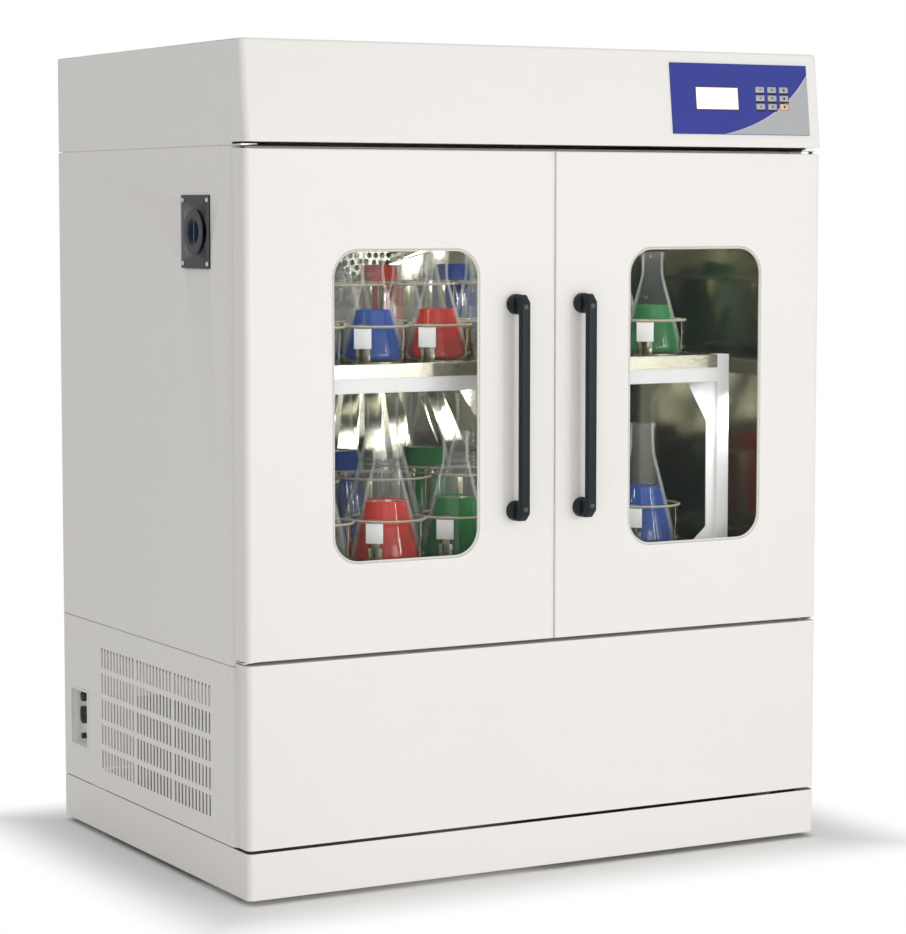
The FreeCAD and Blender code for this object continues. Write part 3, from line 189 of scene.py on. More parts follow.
def grain(tree, place, millimetres, detail=2.0, stretch=(1, 1, 1)):
    """Noise whose grains are about as large as stated."""
    spread = add_node(tree, "ShaderNodeMapping", {"Vector": place, "Scale": stretch})
    return add_node(tree, "ShaderNodeTexNoise", {"Vector": spread.outputs["Vector"],
                                                 "Scale": 1 / (millimetres * MM), "Detail": detail})


def tint(tree, shader, factor, colour, share):
    """Vary the base colour between slightly darker and slightly lighter."""
    low = [c * (1 - share) for c in colour] + [1]
    high = [min(1, c * (1 + share)) for c in colour] + [1]
    mix = add_node(tree, "ShaderNodeMix", {"Factor": factor, "A": low, "B": high}, data_type="RGBA")
    tree.links.new(mix.outputs["Result"], shader.inputs["Base Color"])


def roughen(tree, shader, factor, low, high):
    span = add_node(tree, "ShaderNodeMapRange", {"Value": factor, "To Min": low, "To Max": high})
    tree.links.new(span.outputs["Result"], shader.inputs["Roughness"])


def emboss(tree, shader, height, millimetres, strength=0.4):
    bump = add_node(tree, "ShaderNodeBump", {"Height": height, "Distance": millimetres * MM,
                                             "Strength": strength})
    tree.links.new(bump.outputs["Normal"], shader.inputs["Normal"])


MADE = {}


def finish(maker, *arguments):
    """Make each material once."""
    key = (maker.__name__,) + arguments
    if key not in MADE:
        MADE[key] = maker(*arguments)
    return MADE[key]


# Finishes

def powder_coat():
    """Powder-coated sheet steel: an even off-white with the coat's fine orange peel."""
    colour = colours().cabinet
    material, tree, shader, place = start_material("powder_coated_steel", colour, 0.42)
    peel = grain(tree, place, 1.6)
    cloud = grain(tree, place, 260.0)
    tint(tree, shader, cloud.outputs["Fac"], colour, 0.012)
    roughen(tree, shader, peel.outputs["Fac"], 0.36, 0.50)
    emboss(tree, shader, peel.outputs["Fac"], 0.05, 0.25)
    return material


def rack_enamel():
    """Glossy white stove enamel on steel tube."""
    colour = colours().rack
    material, tree, shader, place = start_material("white_stove_enamel", colour, 0.28)
    peel = grain(tree, place, 2.2)
    roughen(tree, shader, peel.outputs["Fac"], 0.22, 0.36)
    emboss(tree, shader, peel.outputs["Fac"], 0.04, 0.2)
    return material


def brushed_stainless(name, shade, low, high):
    """Stainless sheet brushed along its length: long fine scratches, a soft stretched shine."""
    colour = [c * shade for c in colours().stainless]
    material, tree, shader, place = start_material(name, colour, (low + high) / 2, metallic=1.0)
    lines = grain(tree, place, 0.9, 3.0, (0.02, 0.02, 1))
    cloud = grain(tree, place, 180.0)
    tint(tree, shader, cloud.outputs["Fac"], colour, 0.10)
    roughen(tree, shader, lines.outputs["Fac"], low, high)
    emboss(tree, shader, lines.outputs["Fac"], 0.03, 0.2)
    return material


def chamber_stainless():
    """Mirror-polished chamber walls; the flange at the front, in the doors' gaps, stays dull."""
    material = brushed_stainless("polished_chamber_stainless", 0.9, 0.07, 0.15)
    tree = material.node_tree
    shader = tree.nodes["Principled BSDF"]
    polished = shader.inputs["Roughness"].links[0].from_socket
    place = add_node(tree, "ShaderNodeTexCoord").outputs["Object"]
    depth = add_node(tree, "ShaderNodeSeparateXYZ", {"Vector": place}).outputs["Y"]
    flange_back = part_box("chamber_liner")[0].y + 2.0 * MM
    inside = add_node(tree, "ShaderNodeMath", {0: depth, 1: flange_back}, operation="GREATER_THAN").outputs[0]
    mix = add_node(tree, "ShaderNodeMix", {"Factor": inside, "A": 0.55, "B": polished})
    tree.links.new(mix.outputs["Result"], shader.inputs["Roughness"])
    return material


def spring_steel():
    """Polished spring stainless of the clamps: bright, with faint handling marks."""
    colour = colours().clamp
    material, tree, shader, place = start_material("polished_spring_steel", colour, 0.18, metallic=1.0)
    marks = grain(tree, place, 9.0, 4.0)
    tint(tree, shader, marks.outputs["Fac"], colour, 0.16)
    roughen(tree, shader, marks.outputs["Fac"], 0.12, 0.30)
    return material


def coated_wire():
    """Vinyl-coated spring wire of the clamps' rings: a dull brown-grey."""
    colour = linear("#A69C8A")
    material, tree, shader, place = start_material("coated_ring_wire", colour, 0.45)
    scuffs = grain(tree, place, 5.0, 3.0)
    tint(tree, shader, scuffs.outputs["Fac"], colour, 0.15)
    roughen(tree, shader, scuffs.outputs["Fac"], 0.38, 0.55)
    return material


def polished_plate():
    """Dark mirror-polished stainless of the port plate."""
    colour = linear("#17191B")
    material, tree, shader, place = start_material("mirror_polished_plate", colour, 0.16, metallic=1.0)
    marks = grain(tree, place, 24.0, 3.0)
    roughen(tree, shader, marks.outputs["Fac"], 0.10, 0.24)
    emboss(tree, shader, marks.outputs["Fac"], 0.3, 0.2)
    return material


def zinc_plate():
    """Bright zinc-plated steel of screws and brackets."""
    colour = linear("#B9BBB8")
    material, tree, shader, place = start_material("zinc_plated_steel", colour, 0.30, metallic=1.0)
    spangle = grain(tree, place, 3.0)
    tint(tree, shader, spangle.outputs["Fac"], colour, 0.10)
    roughen(tree, shader, spangle.outputs["Fac"], 0.24, 0.40)
    return material


def turned_steel():
    """Turned and ground steel of shafts, cranks and pulleys."""
    colour = linear("#9A9B9B")
    material, tree, shader, place = start_material("turned_steel", colour, 0.28, metallic=1.0)
    rings = grain(tree, place, 0.8, 2.0, (0.1, 0.1, 1))
    roughen(tree, shader, rings.outputs["Fac"], 0.20, 0.38)
    return material


def mill_aluminium():
    """Mill-finish aluminium of fins and fan wheels."""
    colour = linear("#C4C6C6")
    material, tree, shader, place = start_material("mill_aluminium", colour, 0.36, metallic=1.0)
    streaks = grain(tree, place, 1.5, 2.0, (1, 1, 0.05))
    tint(tree, shader, streaks.outputs["Fac"], colour, 0.10)
    roughen(tree, shader, streaks.outputs["Fac"], 0.30, 0.46)
    return material


def machine_paint(code, name):
    """Brushed-on machine enamel over a casting or tube, slightly uneven."""
    colour = linear(code)
    material, tree, shader, place = start_material(name, colour, 0.45)
    lumps = grain(tree, place, 4.0, 3.0)
    tint(tree, shader, lumps.outputs["Fac"], colour, 0.12)
    roughen(tree, shader, lumps.outputs["Fac"], 0.38, 0.56)
    emboss(tree, shader, lumps.outputs["Fac"], 0.15, 0.3)
    return material


def moulded_plastic(code, name, gloss):
    """Injection-moulded ABS with a fine spark-eroded texture."""
    colour = linear(code)
    material, tree, shader, place = start_material(name, colour, gloss)
    spark = grain(tree, place, 0.9)
    roughen(tree, shader, spark.outputs["Fac"], gloss * 0.85, gloss * 1.2)
    emboss(tree, shader, spark.outputs["Fac"], 0.03, 0.3)
    return material


def handle_plastic():
    """Glass-filled nylon handle: near-black with a blue cast and a soft satin shine."""
    colour = colours().handle
    material, tree, shader, place = start_material("satin_black_nylon", colour, 0.42, specular_ior_level=0.2)
    spark = grain(tree, place, 1.1)
    roughen(tree, shader, spark.outputs["Fac"], 0.36, 0.50)
    emboss(tree, shader, spark.outputs["Fac"], 0.04, 0.35)
    return material


def rubber(code, name):
    """Extruded or moulded rubber, dull, with a faint bloom."""
    colour = linear(code)
    material, tree, shader, place = start_material(name, colour, 0.62)
    bloom = grain(tree, place, 6.0, 3.0)
    tint(tree, shader, bloom.outputs["Fac"], colour, 0.10)
    roughen(tree, shader, bloom.outputs["Fac"], 0.55, 0.72)
    return material


def window_glass():
    """Clear float glass of the door panes: nearly all of the light passes."""
    material, tree, shader, place = start_material("float_glass", linear("#8FA39A"), 0.03, alpha=0.012)
    ripple = grain(tree, place, 300.0)
    emboss(tree, shader, ripple.outputs["Fac"], 0.2, 0.05)
    return material


def flask_glass_finish():
    """Borosilicate glass: clear in the middle, denser and whiter towards its outline."""
    material, tree, shader, place = start_material("borosilicate_glass", linear("#DCE2DE"), 0.04, specular_ior_level=0.9)
    facing = add_node(tree, "ShaderNodeLayerWeight", {"Blend": 0.5}).outputs["Facing"]
    density = add_node(tree, "ShaderNodeMapRange", {"Value": facing, "From Min": 0.45, "From Max": 0.97,
                                                    "To Min": 0.018, "To Max": 0.55})
    tree.links.new(density.outputs["Result"], shader.inputs["Alpha"])
    ripple = grain(tree, place, 14.0)
    emboss(tree, shader, ripple.outputs["Fac"], 0.5, 0.15)
    return material


def culture(name):
    """Coloured culture in a flask: deep, glossy and slightly see-through."""
    colour = getattr(colours(), name)
    if name == "clear":
        material, tree, shader, place = start_material("liquid_clear", colour, 0.04, alpha=0.08)
    else:
        material, tree, shader, place = start_material("liquid_" + name, colour, 0.06, alpha=0.96)
    depth = grain(tree, place, 45.0)
    tint(tree, shader, depth.outputs["Fac"], colour, 0.35)
    return material


def printed_film(code, name):
    """Back-printed polycarbonate film of the overlay: an even colour under a clear satin face."""
    colour = linear(code) if isinstance(code, str) else code
    material, tree, shader, place = start_material(name, colour, 0.55, specular_ior_level=0.25)
    fleck = grain(tree, place, 1.2)
    tint(tree, shader, fleck.outputs["Fac"], colour, 0.03)
    roughen(tree, shader, fleck.outputs["Fac"], 0.50, 0.62)
    return material


def lit_display():
    """Blank pale display: white film that glows a little behind its clear window."""
    material, tree, shader, place = start_material("blank_display", linear("#F6F7FA"), 0.18,
                                                   emission_strength=0.35)
    shader.inputs["Emission Color"].default_value = (*linear("#F4F6FF"), 1)
    cloud = grain(tree, place, 60.0)
    tint(tree, shader, cloud.outputs["Fac"], linear("#F6F7FA"), 0.02)
    return material


def foam():
    """Foamed-in polyurethane: pale grey, open-pored and dull."""
    colour = linear("#CFCDC6")
    material, tree, shader, place = start_material("rigid_foam", colour, 0.9)
    pores = grain(tree, place, 3.0, 4.0)
    tint(tree, shader, pores.outputs["Fac"], colour, 0.12)
    emboss(tree, shader, pores.outputs["Fac"], 0.8, 0.5)
    return material


# Mesh tools

def packed_copy(node):
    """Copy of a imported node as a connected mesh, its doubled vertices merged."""
    bm = bmesh.new()
    bm.from_mesh(frame["nodes"][node].data)
    bmesh.ops.remove_doubles(bm, verts=bm.verts, dist=0.005 * MM)
    return bm


def islands(bm):
    """Separate solids of a mesh, each as a list of its vertices."""
    left = set(bm.verts)
    found = []
    while left:
        stack = [left.pop()]
        island = []
        while stack:
            vertex = stack.pop()
            island.append(vertex)
            for edge in vertex.link_edges:
                other = edge.other_vert(vertex)
                if other in left:
                    left.remove(other)
                    stack.append(other)
        found.append(island)
    return found


def corners(vertices):
    """Lowest and highest corner of some vertices."""
    points = [v.co for v in vertices]
    low = Vector([min(p[i] for p in points) for i in range(3)])
    high = Vector([max(p[i] for p in points) for i in range(3)])
    return low, high


def solids_of(node):
    """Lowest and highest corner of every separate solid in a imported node."""
    bm = bmesh.new()
    bm.from_mesh(frame["nodes"][node].data)
    bmesh.ops.remove_doubles(bm, verts=bm.verts, dist=0.005 * MM)
    boxes = [corners(island) for island in islands(bm)]
    bm.free()
    return boxes


def round_outside(bm, width, planes, segments=2):
    """Round the sharp outer edges that lie wholly in one of a sheet piece's outer planes."""
    low, high = corners(bm.verts)
    near = 0.02 * MM

    def in_plane(vertex, plane):
        axis = "xyz".index(plane[0])
        edge = low[axis] if plane[1] == "-" else high[axis]
        return abs(vertex.co[axis] - edge) < near
    chosen = []
    for edge in bm.edges:
        if len(edge.link_faces) != 2 or not edge.is_convex or edge.calc_face_angle(0) < math.radians(40):
            continue
        if any(all(in_plane(v, plane) for v in edge.verts) for plane in planes):
            chosen.append(edge)
    if chosen:
        bmesh.ops.bevel(bm, geom=chosen, offset=width, segments=segments, profile=0.5, affect="EDGES",
                        clamp_overlap=True, material=-1)


def add_piece(name, bm, body, material, stands_for=(), smooth_under=32.0, flat=False):
    """Turn a mesh into a finished piece that rides on a body; flat keeps large faces evenly shaded."""
    mesh = bpy.data.meshes.new(name)
    bm.to_mesh(mesh)
    bm.free()
    mesh.polygons.foreach_set("use_smooth", [True] * len(mesh.polygons))
    mesh.set_sharp_from_angle(angle=math.radians(smooth_under))
    mesh.materials.append(material)
    piece = bpy.data.objects.new(name, mesh)
    bpy.context.scene.collection.objects.link(piece)
    if flat:
        even = piece.modifiers.new("even_shading", "WEIGHTED_NORMAL")
        even.mode = "FACE_AREA"
        even.weight = 100
        even.keep_sharp = True
    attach(piece, body)
    if stands_for:
        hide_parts(*stands_for)
    return piece


def paint(node, material):
    """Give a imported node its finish."""
    slots = frame["nodes"][node].data.materials
    slots.clear()
    slots.append(material)


def body_of(node):
    return frame["nodes"][node]["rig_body"]


def dress(node, material, width=0.0, planes=(), segments=2, smooth_under=32.0, flat=False):
    """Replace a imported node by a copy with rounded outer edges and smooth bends."""
    bm = packed_copy(node)
    if width:
        round_outside(bm, width, planes, segments)
    return add_piece(node + "_dressed", bm, body_of(node), material, [node], smooth_under,
                     flat or width > 0)


def turn_profile(points, steps):
    """Spin an outline of radius and height about an upright axis through the origin."""
    bm = bmesh.new()
    made = [bm.verts.new((r, 0, z)) for r, z in points]
    edges = [bm.edges.new(pair) for pair in zip(made, made[1:])]
    bmesh.ops.spin(bm, geom=made + edges, cent=(0, 0, 0), axis=(0, 0, 1), angle=math.tau,
                   steps=steps, use_merge=True)
    bmesh.ops.remove_doubles(bm, verts=bm.verts, dist=0.02 * MM)
    return master(bm)


def master(bm):
    """Mesh kept aside, to be stamped in as many places as needed."""
    close_normals(bm)
    mesh = bpy.data.meshes.new("master")
    bm.to_mesh(mesh)
    bm.free()
    return mesh


def stamp(bm, mesh, place):
    """Add a master's mesh at a place."""
    mesh.transform(place)
    bm.from_mesh(mesh)
    mesh.transform(place.inverted())


def whole_island(start):
    """All vertices connected with the given ones."""
    stack = list(start)
    seen = set(stack)
    while stack:
        vertex = stack.pop()
        for edge in vertex.link_edges:
            other = edge.other_vert(vertex)
            if other not in seen:
                seen.add(other)
                stack.append(other)
    return list(seen)


def add_box(bm, low, high, bevel=0.0, segments=2, place=None):
    """Box between two corners, with rounded edges."""
    size = [b - a for a, b in zip(low, high)]
    middle = [(a + b) / 2 for a, b in zip(low, high)]
    made = bmesh.ops.create_cube(bm, size=1.0, matrix=Matrix.Translation(middle) @ Matrix.Diagonal((*size, 1)))
    vertices = made["verts"]
    if bevel:
        edges = list({e for v in vertices for e in v.link_edges})
        result = bmesh.ops.bevel(bm, geom=edges, offset=bevel, segments=segments, profile=0.5,
                                 affect="EDGES", clamp_overlap=True, material=-1)
        vertices = whole_island([v for v in result["verts"] if v.is_valid][:1])
    if place is not None:
        bmesh.ops.transform(bm, matrix=place, verts=vertices)
    return vertices


def add_rod(bm, radius, length, place, bevel=0.0, steps=28, top_radius=None):
    """Round bar along the local Z axis, from the place's origin, with a rounded far edge."""
    made = bmesh.ops.create_cone(bm, cap_ends=True, segments=steps, radius1=radius,
                                 radius2=radius if top_radius is None else top_radius, depth=length,
                                 matrix=Matrix.Translation((0, 0, length / 2)))
    vertices = made["verts"]
    if bevel:
        rims = [e for e in {e for v in vertices for e in v.link_edges}
                if all(abs(v.co.z - length) < 1e-6 for v in e.verts)]
        result = bmesh.ops.bevel(bm, geom=rims, offset=bevel, segments=3, profile=0.5, affect="EDGES",
                                 clamp_overlap=True, material=-1)
        vertices = whole_island([v for v in result["verts"] if v.is_valid][:1])
    bmesh.ops.transform(bm, matrix=place, verts=vertices)
    return vertices


def close_normals(bm):
    bmesh.ops.recalc_face_normals(bm, faces=bm.faces)


# Flasks

def flask_list():
    """Every flask's centre on its clamp, radius, height, liquid level, tier and liquid."""
    shells = solids_of("flask_glass")
    fills = solids_of("flask_liquids")
    flasks = []
    for low, high in shells:
        middle = (low + high) / 2
        fill = min(fills, key=lambda f: ((f[0] + f[1]) / 2 - middle).length)
        tier = "upper" if low.z > UPPER_TIER_FROM else "lower"
        flasks.append({"x": middle.x, "y": middle.y, "z": low.z, "radius": (high.x - low.x) / 2,
                       "height": high.z - low.z, "level": fill[1].z - low.z, "tier": tier,
                       "fill": (fill[1].z - low.z) / (high.z - low.z)})
    for tier in ("upper", "lower"):
        same = [f for f in flasks if f["tier"] == tier]
        rows = sorted({round(f["y"], 2) for f in same})
        for flask in same:
            flask["row"] = rows.index(round(flask["y"], 2))
        for number in range(len(rows)):
            row = sorted([f for f in same if f["row"] == number], key=lambda f: f["x"])
            for column, flask in enumerate(row):
                flask["liquid"] = FLASK_LIQUIDS[(tier, number)][column]
    return flasks


CLAMP_FINGERS = 4
SMALL_CLAMP_SHARE = 0.36
LARGE_CLAMP_SHARE = 0.50
NECK_SHARE = 0.35
NECK_HEIGHT_SHARE = 0.22
LIP_SHARE = 0.04


def flask_wall_line(radius, height, inset, foot, top):
    """Radius and height of the flask's wall from its bottom edge up to a level."""
    neck = radius * NECK_SHARE - inset
    wide = radius - inset
    shoulder = height * (1 - NECK_HEIGHT_SHARE)
    start = foot * 2
    points = []
    for step in range(5):
        angle = math.pi / 2 * step / 4
        points.append((wide - foot + foot * math.sin(angle), inset + foot - foot * math.cos(angle)))
    slope = (wide - neck) / (shoulder - start)
    blend = height * 0.05
    for share in (0.0, 0.25, 0.5, 0.75):
        level = start + (shoulder - blend - start) * share
        points.append((wide - slope * (level - start), level))
    for share in (0.0, 0.35, 0.7, 1.0):
        level = shoulder - blend + blend * 2 * share
        if share == 0.0:
            width = wide - slope * (level - start)
        else:
            width = neck + slope * blend * (1 - share) ** 2
        points.append((width, level))
    points.append((neck, height))
    kept = [p for p in points if p[1] < top]
    if kept and top < height:
        last = next(p for p in points if p[1] >= top)
        low = kept[-1]
        share = (top - low[1]) / max(last[1] - low[1], 1e-6)
        kept.append((low[0] + (last[0] - low[0]) * share, top))
    elif top >= height:
        kept = points
    return kept


def flask_outline(flask):
    """Closed outline of the glass: outside, rolled lip, inside, with a low punt under it."""
    radius, height = flask["radius"], flask["height"]
    wall, foot = sizes().flask_wall, sizes().flask_foot
    outer = flask_wall_line(radius, height, 0.0, foot, height)
    inner = flask_wall_line(radius, height, wall, foot, height)
    neck = radius * NECK_SHARE
    lip = height * LIP_SHARE
    rolled = [(neck, height - lip), (neck + wall * 0.9, height - lip * 0.75), (neck + wall, height - lip * 0.4),
              (neck + wall * 0.6, height - lip * 0.1), (neck - wall * 0.3, height)]
    below = [(0.0, wall * 0.6), (radius * 0.5, wall * 0.45), (radius - foot * 1.6, 0.0)]
    up = below + outer[:-1] + rolled
    down = [(r, z) for r, z in reversed(inner[:-1])]
    return up + [(neck - wall, height - wall)] + down + [(0.0, wall * 1.6)]


def liquid_outline(flask):
    """Closed outline of a filling with a small meniscus at the glass."""
    inset = sizes().flask_wall + 0.3 * MM
    side = flask_wall_line(flask["radius"], flask["height"], inset, sizes().flask_foot, flask["level"])
    rim = side[-1]
    rise = 1.5 * MM
    surface = [(rim[0] - 1.5 * MM, rim[1] - rise * 0.8), (rim[0] * 0.5, rim[1] - rise), (0.0, rim[1] - rise)]
    return [(0.0, inset)] + side + surface


def flask_kinds(flasks):
    """The flasks of each size together."""
    kinds = {}
    for flask in flasks:
        kinds.setdefault((round(flask["radius"], 4), round(flask["height"], 4)), []).append(flask)
    return kinds.values()


def flask_spot(flask):
    return Matrix.Translation((flask["x"], flask["y"], flask["z"]))


def make_flasks(flasks):
    bm = bmesh.new()
    for kind in flask_kinds(flasks):
        glass = turn_profile(flask_outline(kind[0]), 36)
        for flask in kind:
            stamp(bm, glass, flask_spot(flask))
    add_piece("flasks", bm, "platform", finish(flask_glass_finish), ["flask_glass"], 50.0)


def make_liquids(flasks):
    fills = {}
    for kind in flask_kinds(flasks):
        filling = turn_profile(liquid_outline(kind[0]), 36)
        for flask in kind:
            bm = fills.setdefault(flask["liquid"], bmesh.new())
            stamp(bm, filling, flask_spot(flask))
    for name, bm in fills.items():
        add_piece("culture_" + name, bm, "platform", finish(culture, name), ["flask_liquids"], 50.0)


def clamp_master(flask, finger_top):
    """Base dish with its ledge, and four broad sprung fingers with rolled tips, webs and screws."""
    bm = bmesh.new()
    sheet, half = sizes().clamp_sheet, sizes().finger_width / 2
    reach = flask["radius"] + 0.3 * MM
    place = Matrix.Translation((0, 0, -sheet))
    add_rod(bm, reach, sheet, place, sheet * 0.3, 40)
    for number in range(CLAMP_FINGERS):
        spot = place @ Matrix.Rotation(math.radians(45 + number * 360 / CLAMP_FINGERS), 4, "Z")
        outside = reach + sheet
        add_box(bm, (reach - sheet * 0.2, -half * 0.72, 0), (outside, half * 0.72, finger_top), sheet * 0.3, 2, spot)
        add_box(bm, (reach - sheet * 0.2, -half * 1.25, 0), (outside, half * 1.25, finger_top * 0.38), sheet * 0.3, 2, spot)
        tip = spot @ Matrix.Translation((outside, 0, finger_top - sheet)) @ Matrix.Rotation(math.radians(-90), 4, "Y")
        add_box(bm, (0, -half, -sheet * 1.8), (sheet * 0.9, half, 0), sheet * 0.3, 2, tip)
        facing = Matrix.Rotation(math.radians(90), 4, "Y")
        for share, across in ((0.62, 0.0), (0.20, -0.85), (0.20, 0.85)):
            head = spot @ Matrix.Translation((outside, half * across, finger_top * share)) @ facing
            add_rod(bm, 2.8 * MM, 1.6 * MM, head, 0.7 * MM, 14)
    return master(bm)


def ring_master(flask, finger_top):
    """Wire ring that holds a clamp's fingers together."""
    bm = bmesh.new()
    sheet, half, wire = sizes().clamp_sheet, sizes().finger_width / 2, sizes().ring_wire
    ring_radius = math.hypot(flask["radius"] + 0.3 * MM + sheet, half) + 0.3 * MM + wire
    level = finger_top - sheet * 2 - 0.3 * MM - wire
    add_ring(bm, ring_radius, wire, Matrix.Translation((0, 0, level)), 48, 8)
    return master(bm)


def add_ring(bm, radius, wire, place, steps, sides):
    """Wire ring spun from a small circle."""
    turn = Matrix.Translation((radius, 0, 0)) @ Matrix.Rotation(math.radians(90), 4, "X")
    made = bmesh.ops.create_circle(bm, segments=sides, radius=wire, matrix=turn)
    edges = list({e for v in made["verts"] for e in v.link_edges})
    bmesh.ops.spin(bm, geom=made["verts"] + edges, cent=(0, 0, 0), axis=(0, 0, 1), angle=math.tau,
                   steps=steps, use_merge=True)
    vertices = whole_island([v for v in made["verts"] if v.is_valid])
    bmesh.ops.transform(bm, matrix=place, verts=vertices)


def make_clamps(flasks):
    """Clamps of every flask, and blank tags on the front row's near fingers."""
    bm = bmesh.new()
    rings = bmesh.new()
    tags = bmesh.new()
    for kind in flask_kinds(flasks):
        share = SMALL_CLAMP_SHARE if kind[0]["fill"] < 0.5 else LARGE_CLAMP_SHARE
        finger_top = kind[0]["height"] * share
        clamp = clamp_master(kind[0], finger_top)
        ring = ring_master(kind[0], finger_top)
        for flask in kind:
            stamp(bm, clamp, flask_spot(flask))
            stamp(rings, ring, flask_spot(flask))
            if flask["row"] == 0:
                add_tag(tags, flask, finger_top)
    close_normals(tags)
    add_piece("clamps", bm, "platform", finish(spring_steel), ["flask_clamps"])
    add_piece("clamp_rings", rings, "platform", finish(coated_wire))
    add_piece("clamp_tags", tags, "platform",
              finish(moulded_plastic, "#F2F3F4", "white_tag_card", 0.4))


def add_tag(bm, flask, finger_top):
    reach = flask["radius"] + 0.3 * MM + sizes().clamp_sheet + 1.8 * MM
    wide, tall = sizes().tag_width / 2, sizes().tag_height
    top = finger_top - sizes().clamp_sheet - sizes().ring_wire * 3
    place = Matrix.Translation((flask["x"], flask["y"], flask["z"])) @ Matrix.Rotation(math.radians(225), 4, "Z")
    add_box(bm, (reach, -wide, top - tall), (reach + 1.2 * MM, wide, top), 0.4 * MM, 2, place)


# Handles

def make_handle(side):
    """Flat pull bar whose ends lean down into round feet, with a plug over each fixing screw."""
    low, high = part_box(side + "_handle")
    x, back = (low.x + high.x) / 2, high.y
    half, foot = sizes().handle_bar / 2, sizes().handle_foot / 2
    plug = 0.3 * MM
    front = low.y + plug
    inner = low.y + sizes().handle_thickness
    lean = foot * 0.8
    outline = ((back, low.z + foot * 0.5), (inner, low.z), (front, low.z + lean), (front, high.z - lean),
               (inner, high.z), (back, high.z - foot * 0.5), (back, high.z - foot * 1.5),
               (inner, high.z - foot * 2), (inner, low.z + foot * 2), (back, low.z + foot * 1.5))
    bm = bmesh.new()
    face = bm.faces.new([bm.verts.new((x - half, y, z)) for y, z in outline])
    made = bmesh.ops.extrude_face_region(bm, geom=[face])["geom"]
    bmesh.ops.translate(bm, verts=[g for g in made if isinstance(g, bmesh.types.BMVert)], vec=(half * 2, 0, 0))
    bmesh.ops.bevel(bm, geom=bm.edges, offset=4.0 * MM, segments=4, profile=0.5, affect="EDGES",
                    clamp_overlap=True, material=-1)
    facing = Matrix.Rotation(math.radians(90), 4, "X")
    for level in (low.z + foot, high.z - foot):
        place = Matrix.Translation((x, back, level)) @ facing
        add_rod(bm, foot, sizes().handle_foot_depth, place, 3.0 * MM, 48)
    close_normals(bm)
    add_piece(side + "_handle_bar", bm, side + "_door", finish(handle_plastic),
              [side + "_handle"], 40.0)
    plugs = bmesh.new()
    for level in (low.z + foot * 1.25, high.z - foot * 1.25):
        place = Matrix.Translation((x, front, level)) @ facing
        add_rod(plugs, 4.5 * MM, plug, place, 0.1 * MM, 24)
    close_normals(plugs)
    add_piece(side + "_handle_plugs", plugs, side + "_door",
              finish(moulded_plastic, "#3A4248", "grey_screw_plug", 0.4))


# Control panel

def panel_place():
    """Local frame of the overlay: its lower left corner on the leaning header face."""
    low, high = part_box("control_overlay")
    lean = math.atan2(HEADER_RUN, HEADER_RISE)
    thick = 2.5 * MM
    corner = Vector((low.x, low.y + thick * math.cos(lean), low.z))
    width = high.x - low.x
    height = (high.z - low.z - thick * math.sin(lean)) / math.cos(lean)
    return Matrix.Translation(corner) @ Matrix.Rotation(-lean, 4, "X"), width, height, thick


def local_box(node, place):
    """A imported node's box in the overlay's local frame."""
    back = place.inverted()
    points = [back @ v.co for v in frame["nodes"][node].data.vertices]
    low = Vector([min(p[i] for p in points) for i in range(3)])
    high = Vector([max(p[i] for p in points) for i in range(3)])
    return low, high


def sweep_line(width, height):
    """Curve that divides the overlay's two fields, from the bottom edge to the right edge."""
    start, bend, end = (0.375 * width, 0.0), (0.80 * width, 0.20 * height), (width, 0.86 * height)
    points = []
    for step in range(17):
        t = step / 16
        points.append(tuple((1 - t) ** 2 * a + 2 * t * (1 - t) * b + t * t * c
                            for a, b, c in zip(start, bend, end)))
    return points


def plate_from_outline(bm, outline, back, front, place):
    """Flat plate from an outline in the overlay's plane."""
    vertices = [bm.verts.new((x, back, z)) for x, z in outline]
    face = bm.faces.new(vertices)
    out = bmesh.ops.extrude_face_region(bm, geom=[face])["geom"]
    moved = [g for g in out if isinstance(g, bmesh.types.BMVert)]
    bmesh.ops.translate(bm, verts=moved, vec=(0, front - back, 0))
    bmesh.ops.transform(bm, matrix=place, verts=vertices + moved)


def make_overlay():
    """The overlay's blue plate with the grey corner field and the thin line laid into it."""
    place, width, height, thick = panel_place()
    dress("control_overlay", finish(printed_film, tuple(colours().overlay_blue), "blue_overlay_film"))
    curve = sweep_line(width, height)
    skin = 0.25 * MM
    keys = [local_box(f"key_{n}", place) for n in range(1, 10)]
    inset = 0.6 * MM
    corner_field = bmesh.new()
    outline = [(x + inset, z) for x, z in curve[:-1]] + [(width - inset, curve[-1][1]), (width - inset, inset)]
    outline[0] = (curve[0][0] + inset, inset)
    plate_from_outline(corner_field, outline, -thick - skin * 0.2, -thick - skin, place)
    close_normals(corner_field)
    cut_for_keys(corner_field, keys, place)
    add_piece("overlay_corner_field", corner_field, "cabinet",
              finish(printed_film, tuple(colours().overlay_grey), "grey_overlay_film"))
    line = bmesh.new()
    half = 0.9 * MM
    low_side = [(x - half, z + half * 0.4) for x, z in curve]
    high_side = [(x + half, z - half * 0.4) for x, z in curve]
    low_side[0] = (low_side[0][0], inset)
    high_side[0] = (high_side[0][0], inset)
    low_side[-1] = (width - inset, low_side[-1][1])
    high_side[-1] = (width - inset, high_side[-1][1])
    plate_from_outline(line, low_side + high_side[::-1], -thick - skin * 0.2, -thick - skin * 1.5, place)
    close_normals(line)
    cut_for_keys(line, keys, place)
    add_piece("overlay_line", line, "cabinet",
              finish(printed_film, tuple(colours().overlay_line), "pale_overlay_line"))


